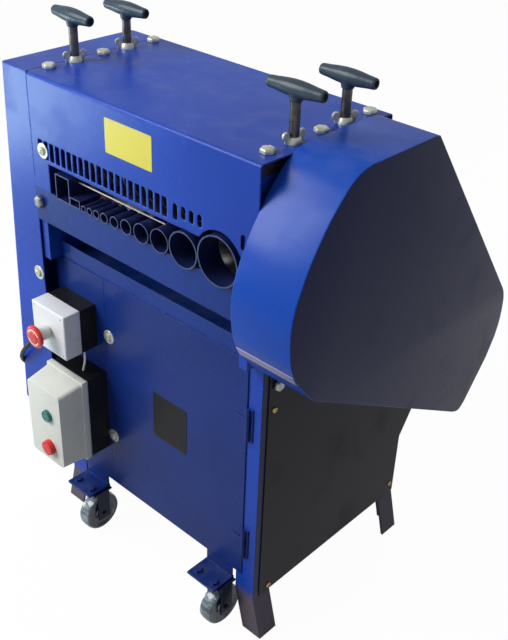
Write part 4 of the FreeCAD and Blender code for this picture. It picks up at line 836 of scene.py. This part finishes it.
def shell(piece):
    """Opens the back and gives the cover its wall."""
    faces_toward(piece, (0, 1, 0))
    bpy.ops.mesh.delete(type="FACE")
    leave_edit()
    return changed(piece, "SOLIDIFY", thickness=WALL / 1000, offset=-1.0)


def round_off(name, rings, place, y, sides):
    """Turned towards the front about an (x, z) place."""
    x, z = place
    return turned(name, rings, (x, y, z), "-y", sides)


def button_hole(name, radius, place, y, reach, sides):
    wide = radius + BUTTON_GAP
    return round_off(name, [(wide, -reach), (wide, 0)], place, y, sides)


low, high = (-450, -29, 202), (-354, -17, 366)
starter = block("starter_cover_shaped", low, high)
faces_toward(starter, (0, -1, 0))
bpy.ops.mesh.inset(thickness=RIM / 1000)
forward = (0, (STARTER_FRONT - low[1]) / 1000, 0)
bpy.ops.mesh.extrude_region_move(TRANSFORM_OT_translate={"value": forward})
# The sides lean more at the top than at the foot, so they shrink about a low point.
wide, tall = (high[axis] - low[axis] - 2 * RIM for axis in (0, 2))
bpy.ops.transform.resize(value=(FACE[0] / wide, 1, FACE[1] / tall),
                         center_override=at(-402, STARTER_FRONT, 237))
leave_edit()
edges_along(starter, lambda run: abs(run.y) > 0.03)
bpy.ops.mesh.bevel(offset=0.007, segments=5)
leave_edit()
softened(starter, 2.2, 3, 30)
shell(starter)
carved(starter, button_hole("hole_a", START_RADIUS, START, -80, 90, 48),
       button_hole("hole_b", OFF_RADIUS, OFF, -80, 90, 48))
mounted(worn_by(starter, cream_plastic), "machine", ["starter_cover"])

stop = block("stop_cover_shaped", (-460, STOP_FRONT, 407), (-375, -7, 491))
softened(stop, 2.6, 4, 30)
shell(stop)
carved(stop, button_hole("hole_c", SHANK_RADIUS, STOP, -33, 60, 40))
for x, z in ((-453, 414), (-382, 414), (-453, 484), (-382, 484)):
    carved(stop, round_off("corner_recess", [(1.9, -1.6), (1.9, 4)], (x, z), STOP_FRONT, 20))
mounted(worn_by(stop, grey_plastic), "machine", ["stop_box_cover"])
print("covers made")


# %% [markdown]
# ## Buttons
# The stop button is a mushroom with a raised cap and two pale arcs that show which way it twists.
# The start and off buttons are short pins with rounded faces. All are turned. The arcs are flat, so
# the red material draws them by their distance from the middle.


# %% Buttons
def mushroom_red():
    m = Material("mushroom_red")
    rounded, rim = m.soft_edge(0.0006)
    centre = at(STOP[0], 0, STOP[1])
    across, upward = m.x - centre.x, m.z - centre.z
    radius = (across * across + upward * upward).sum("SQRT")
    ring = (radius - 0.0135).size().smooth(0.0016, 0.0011)
    angle = m.node("ShaderNodeMath", [upward, across], operation="ARCTAN2")
    arcs = ring * (angle.sum("SINE").size()).smooth(0.35, 0.42) * m.y.below(at(0, -60, 0).y)
    cloud = m.noise(60.0, 3.0).smooth(0.45, 0.7)
    tone = m.mix(colour(0.62, 0.022, 0.012), colour(0.42, 0.012, 0.01), cloud)
    tone = m.mix(tone, colour(0.8, 0.55, 0.48), arcs)
    return m.finish(Base_Color=tone, Roughness=m.noise(50.0) * 0.12 + 0.22, Coat_Weight=0.3,
                    Normal=m.bump(m.noise(900.0), 0.05, 0.0004, rounded))


MUSHROOM = [(12.5, 24), (19, 24.6), (20, 26), (20, 28.4), (18.8, 30.6), (15.5, 31.6), (11.4, 31.8),
            (10.8, 32.6), (8.5, 33)]
SHANK = [(SHANK_RADIUS, -20), (SHANK_RADIUS, 4.4), (12, 4.6), (12, 24.5)]
START_PIN = [(START_RADIUS, -14), (START_RADIUS, 4.8), (10.3, 5.8), (8.6, 6.0), (8.0, 5.4)]
OFF_PIN = [(OFF_RADIUS, -14), (OFF_RADIUS, 7.6), (13.2, 9.4), (11, 10.0), (6, 10.0)]

mushroom = worn_by(round_off("mushroom_shaped", MUSHROOM, STOP, STOP_FRONT, 64), mushroom_red())
shank = worn_by(round_off("mushroom_shank", SHANK, STOP, STOP_FRONT, 48), cream_plastic)
mounted(joined("mushroom_shaped", mushroom, shank), "stop", ["stop_button"])
start = worn_by(round_off("start_button_shaped", START_PIN, START, STARTER_FRONT, 56), green_plastic)
mounted(start, "start", ["start_button"])
off = worn_by(round_off("off_button_shaped", OFF_PIN, OFF, STARTER_FRONT, 56), red_plastic)
mounted(off, "off", ["off_button"])
print("buttons made")


# %% [markdown]
# ## Casters
# A hard grey tyre on a dark centre turns between the fork's cheeks. The tread is glossy with grey
# green streaks. Tyre and centre are turned in one outline, and the sides take the dark colour by
# their direction, so that the two meet without a seam.


# %% Caster wheels
def tyre():
    m = Material("caster_tyre")
    rounded, rim = m.soft_edge(0.0006)
    across, along, upward = m.facing()
    side = across.size().smooth(0.75, 0.95)
    streak = m.noise(60.0, 5.0, 0.62, stretch=(0.35, 1.0, 1.0)).smooth(0.42, 0.72)
    tread = m.mix(colour(0.05, 0.07, 0.10), colour(0.36, 0.44, 0.44), streak)
    tone = m.mix(tread, colour(0.012, 0.018, 0.03), side)
    return m.finish(Base_Color=tone, Roughness=m.noise(80.0) * 0.25 + 0.15, Coat_Weight=0.5,
                    Coat_Roughness=0.1,
                    Normal=m.bump(m.noise(300.0, 3.0), 0.15, 0.0005, rounded))


WHEEL = [(8.5, -13), (14, -13), (15, -11), (26, -11), (28, -12.8), (33, -13), (36, -11), (37.3, -7),
         (37.5, 0), (37.3, 7), (36, 11), (33, 13), (28, 12.8), (26, 11), (15, 11), (14, 13), (8.5, 13)]
tyre_look = tyre()
for name, x in (("right", -64), ("left", -384)):
    axle = (x, 11.5, 40.5)
    wheel = turned(name + "_wheel_shaped", WHEEL, axle, "x", 72)
    carved(wheel, turned(name + "_bore", [(4.05, -20), (4.05, 20)], axle, "x", 32))
    worn_by(wheel, tyre_look)
    mounted(wheel, name + "_caster_wheel", [name + "_wheel"])
print("wheels made")

# %% [markdown]
# ## Drive cover
# A strip is rolled round the outline and welded to a flat face. The outline is one smooth curve
# through a few points, made into a mesh, drawn out to the side and given the sheet's thickness. A
# chain of arcs would do too, but its joints would show in the paint's shine.

# %% Drive cover
# The points are (y, z), from the top and down the front. The line runs smoothly through those of
# a SMOOTH row and may turn sharply at those of a SHARP one.
SMOOTH, SHARP = "AUTO", "VECTOR"
COVER_EDGE = [
    (SMOOTH, [(90, 870), (59, 861.6), (30, 836.7), (-3.9, 794.2), (-30, 747.5), (-45.4, 702),
              (-45.6, 655), (-37.5, 620), (-14.5, 584.1), (8.4, 557.4)]),
    (SHARP, [(42, 537), (403, 325.6)]),
    (SMOOTH, [(421, 321)]),
    (SHARP, [(436, 331), (487, 400)]),
    (SMOOTH, [(507, 445), (512, 490), (506, 522)]),
    (SHARP, [(490, 545), (235, 868), (226, 870), (100, 870)]),
]
outline = [(kind, y, z) for kind, places in COVER_EDGE for y, z in places]
COVER_DEPTH = 0.102
bpy.ops.object.select_all(action="DESELECT")
bpy.ops.curve.primitive_bezier_curve_add()
cover = bpy.context.object
cover.name = "drive_cover_shaped"
spline = cover.data.splines[0]
spline.bezier_points.add(len(outline) - len(spline.bezier_points))
spline.use_cyclic_u = True
spline.resolution_u = 10
for knot, (kind, y, z) in zip(spline.bezier_points, outline):
    knot.co = at(0, y, z)
    knot.handle_left_type = knot.handle_right_type = kind
only(cover)
bpy.ops.object.convert(target="MESH")
bpy.ops.object.mode_set(mode="EDIT")
bpy.ops.mesh.select_mode(type="VERT")
bpy.ops.mesh.select_all(action="SELECT")
bpy.ops.mesh.remove_doubles(threshold=0.0002)
bpy.ops.mesh.extrude_region_move(TRANSFORM_OT_translate={"value": (COVER_DEPTH, 0, 0)})
bpy.ops.mesh.edge_face_add()
bpy.ops.mesh.select_all(action="SELECT")
bpy.ops.mesh.normals_make_consistent(inside=False)
leave_edit()
faces_toward(cover, (1, 0, 0), 0.5)
bpy.ops.mesh.bevel(offset=0.0014, segments=3)
leave_edit()
changed(cover, "SOLIDIFY", thickness=0.0015, offset=-1.0)
mounted(worn_by(cover, blue_cover), "machine", ["drive_cover"])
print("drive cover", len(cover.data.polygons), "faces")

# %% [markdown]
# ## Small strips and bolt
# The cover's chin carries two thin pale strips that stand for the lit bands of its folded edges, a
# painted highlight; a flat rod lies on the guide tubes against the tall one, and one hexagon bolt
# holds the side panel's upper corner. Strips and rod are thin blocks with softened edges, and a strip
# that leans is turned about its upper edge.


# %% Strips and bolt
def chin_strip(name, y, z, length, tilt):
    """A thin strip across the cover, square to it, its upper edge at (y, z)."""
    piece = block(name, (0.4, y - 1.2, z - length), (100.5, y, z))
    return softened(swung(piece, at(0, y, z), math.radians(tilt), "X"), 0.4, 2)


strips = [chin_strip("chin_strip", -35.4, 615.5, 10.0, 27),
          chin_strip("chin_strip_low", -29.9, 604.6, 9.0, 37)]
mounted(worn_by(joined("chin_strip", *strips), chin_highlight_paint), "machine")
rod = softened(block("guard_rod", (-385.2, 14.8, 706.5), (-190, 17, 708.4)), 0.6, 2)
mounted(worn_by(rod, pale_rod), "machine")
panel_bolt = hex_head("panel_bolt", (-0.2, 57, 506), "x", 0.35, 17.0, 6.5)
mounted(worn_by(panel_bolt, zinc), "machine")
print("strips made")

# %% [markdown]
# ## Plates
# The sticker's and the data plate's places stay bare. Both are thin films with round corners: only
# the four short edges through the film are bevelled, so its face stays flat.


# %% Plates
def film(name, low, high, material, body):
    piece = block(name, low, high)
    edges_along(piece, lambda run: abs(run.y) > 1e-6 and abs(run.x) < 1e-6 and abs(run.z) < 1e-6)
    bpy.ops.mesh.bevel(offset=0.0025, segments=4)
    leave_edit()
    return mounted(worn_by(piece, material), body)


film("yellow_film", (-297, -0.3, 788.5), (-198.5, 0, 841), vinyl_yellow, "machine")
film("data_film", (-237, 24.6, 298), (-158, 25, 386), vinyl_black, "door_body")
print("films made")

# %% [markdown]
# ## Studio
# A broad lamp stands high at the front left, and a low one beside it is mirrored in the left cover.
# Weak ones stand behind and at the right. Floor and sky are plain white to the camera and a dimmer
# white in whatever mirrors them, and throw little light back, so the shaded sides stay dark.


# %% Floor and light
MIRRORED_SHARE = 0.4
SHADELESS_SHARE = 0.97


def looked_at(m):
    """1 for the camera's own rays, less for rays that come by way of a mirror or glass."""
    path = m.raw("ShaderNodeLightPath")
    straight, mirrored, through = (Socket(m, path.outputs[f"Is {kind} Ray"])
                                   for kind in ("Camera", "Glossy", "Transmission"))
    return straight.most(mirrored.most(through) * MIRRORED_SHARE)


def plain_floor():
    m = Material("plain_floor")
    seen = looked_at(m)
    paint = m.mix(colour(0.3, 0.3, 0.31), colour(0.82, 0.82, 0.83), seen)
    diffuse = m.node("ShaderNodeBsdfDiffuse", {"Color": paint})
    glow = m.node("ShaderNodeEmission", {"Color": colour(1, 1, 1), "Strength": 1.0})
    surface = m.node("ShaderNodeMixShader", [seen * SHADELESS_SHARE, diffuse, glow])
    m.raw("ShaderNodeOutputMaterial", [surface])
    return m.data


bpy.ops.object.select_all(action="DESELECT")
bpy.ops.mesh.primitive_plane_add(size=14, location=(0, 0, -0.0002))
floor = bpy.context.object
floor.name = "floor"
worn_by(floor, plain_floor())

sky = Material("studio", bpy.data.worlds.new("studio"), "Generated")
bpy.context.scene.world = sky.data
room = sky.node("ShaderNodeBackground", {"Color": colour(0.85, 0.92, 1.0), "Strength": 0.3})
white = sky.node("ShaderNodeBackground", {"Color": colour(1, 1, 1), "Strength": 1.0})
sky.raw("ShaderNodeOutputWorld",
        [sky.node("ShaderNodeMixShader", [looked_at(sky), room, white])])


def softbox(name, place, target, size, power, tint=(1, 1, 1), mirrored=False):
    data = bpy.data.lights.new(name, "AREA")
    data.size = size
    data.energy = power
    data.color = tint
    lamp = bpy.data.objects.new(name, data)
    bpy.context.scene.collection.objects.link(lamp)
    lamp.location = place
    lamp.rotation_euler = (Vector(target) - Vector(place)).to_track_quat("-Z", "Y").to_euler()
    lamp.visible_glossy = mirrored
    return lamp


softbox("key", (-1.2, -1.7, 2.1), (0, 0, 0.55), 1.5, 74, mirrored=True)
softbox("wash", (-1.65, -1.05, 0.38), (-0.1, -0.1, 0.6), 0.6, 13, (0.68, 0.92, 1.0),
        mirrored=True)
softbox("behind", (-0.4, 1.9, 2.2), (0, 0, 0.7), 1.0, 14)
softbox("fill", (2.1, -1.0, 1.2), (0.1, 0, 0.4), 1.0, 3.5)

bpy.context.scene.view_settings.view_transform = "Standard"
print("lamps", len(bpy.data.lights))
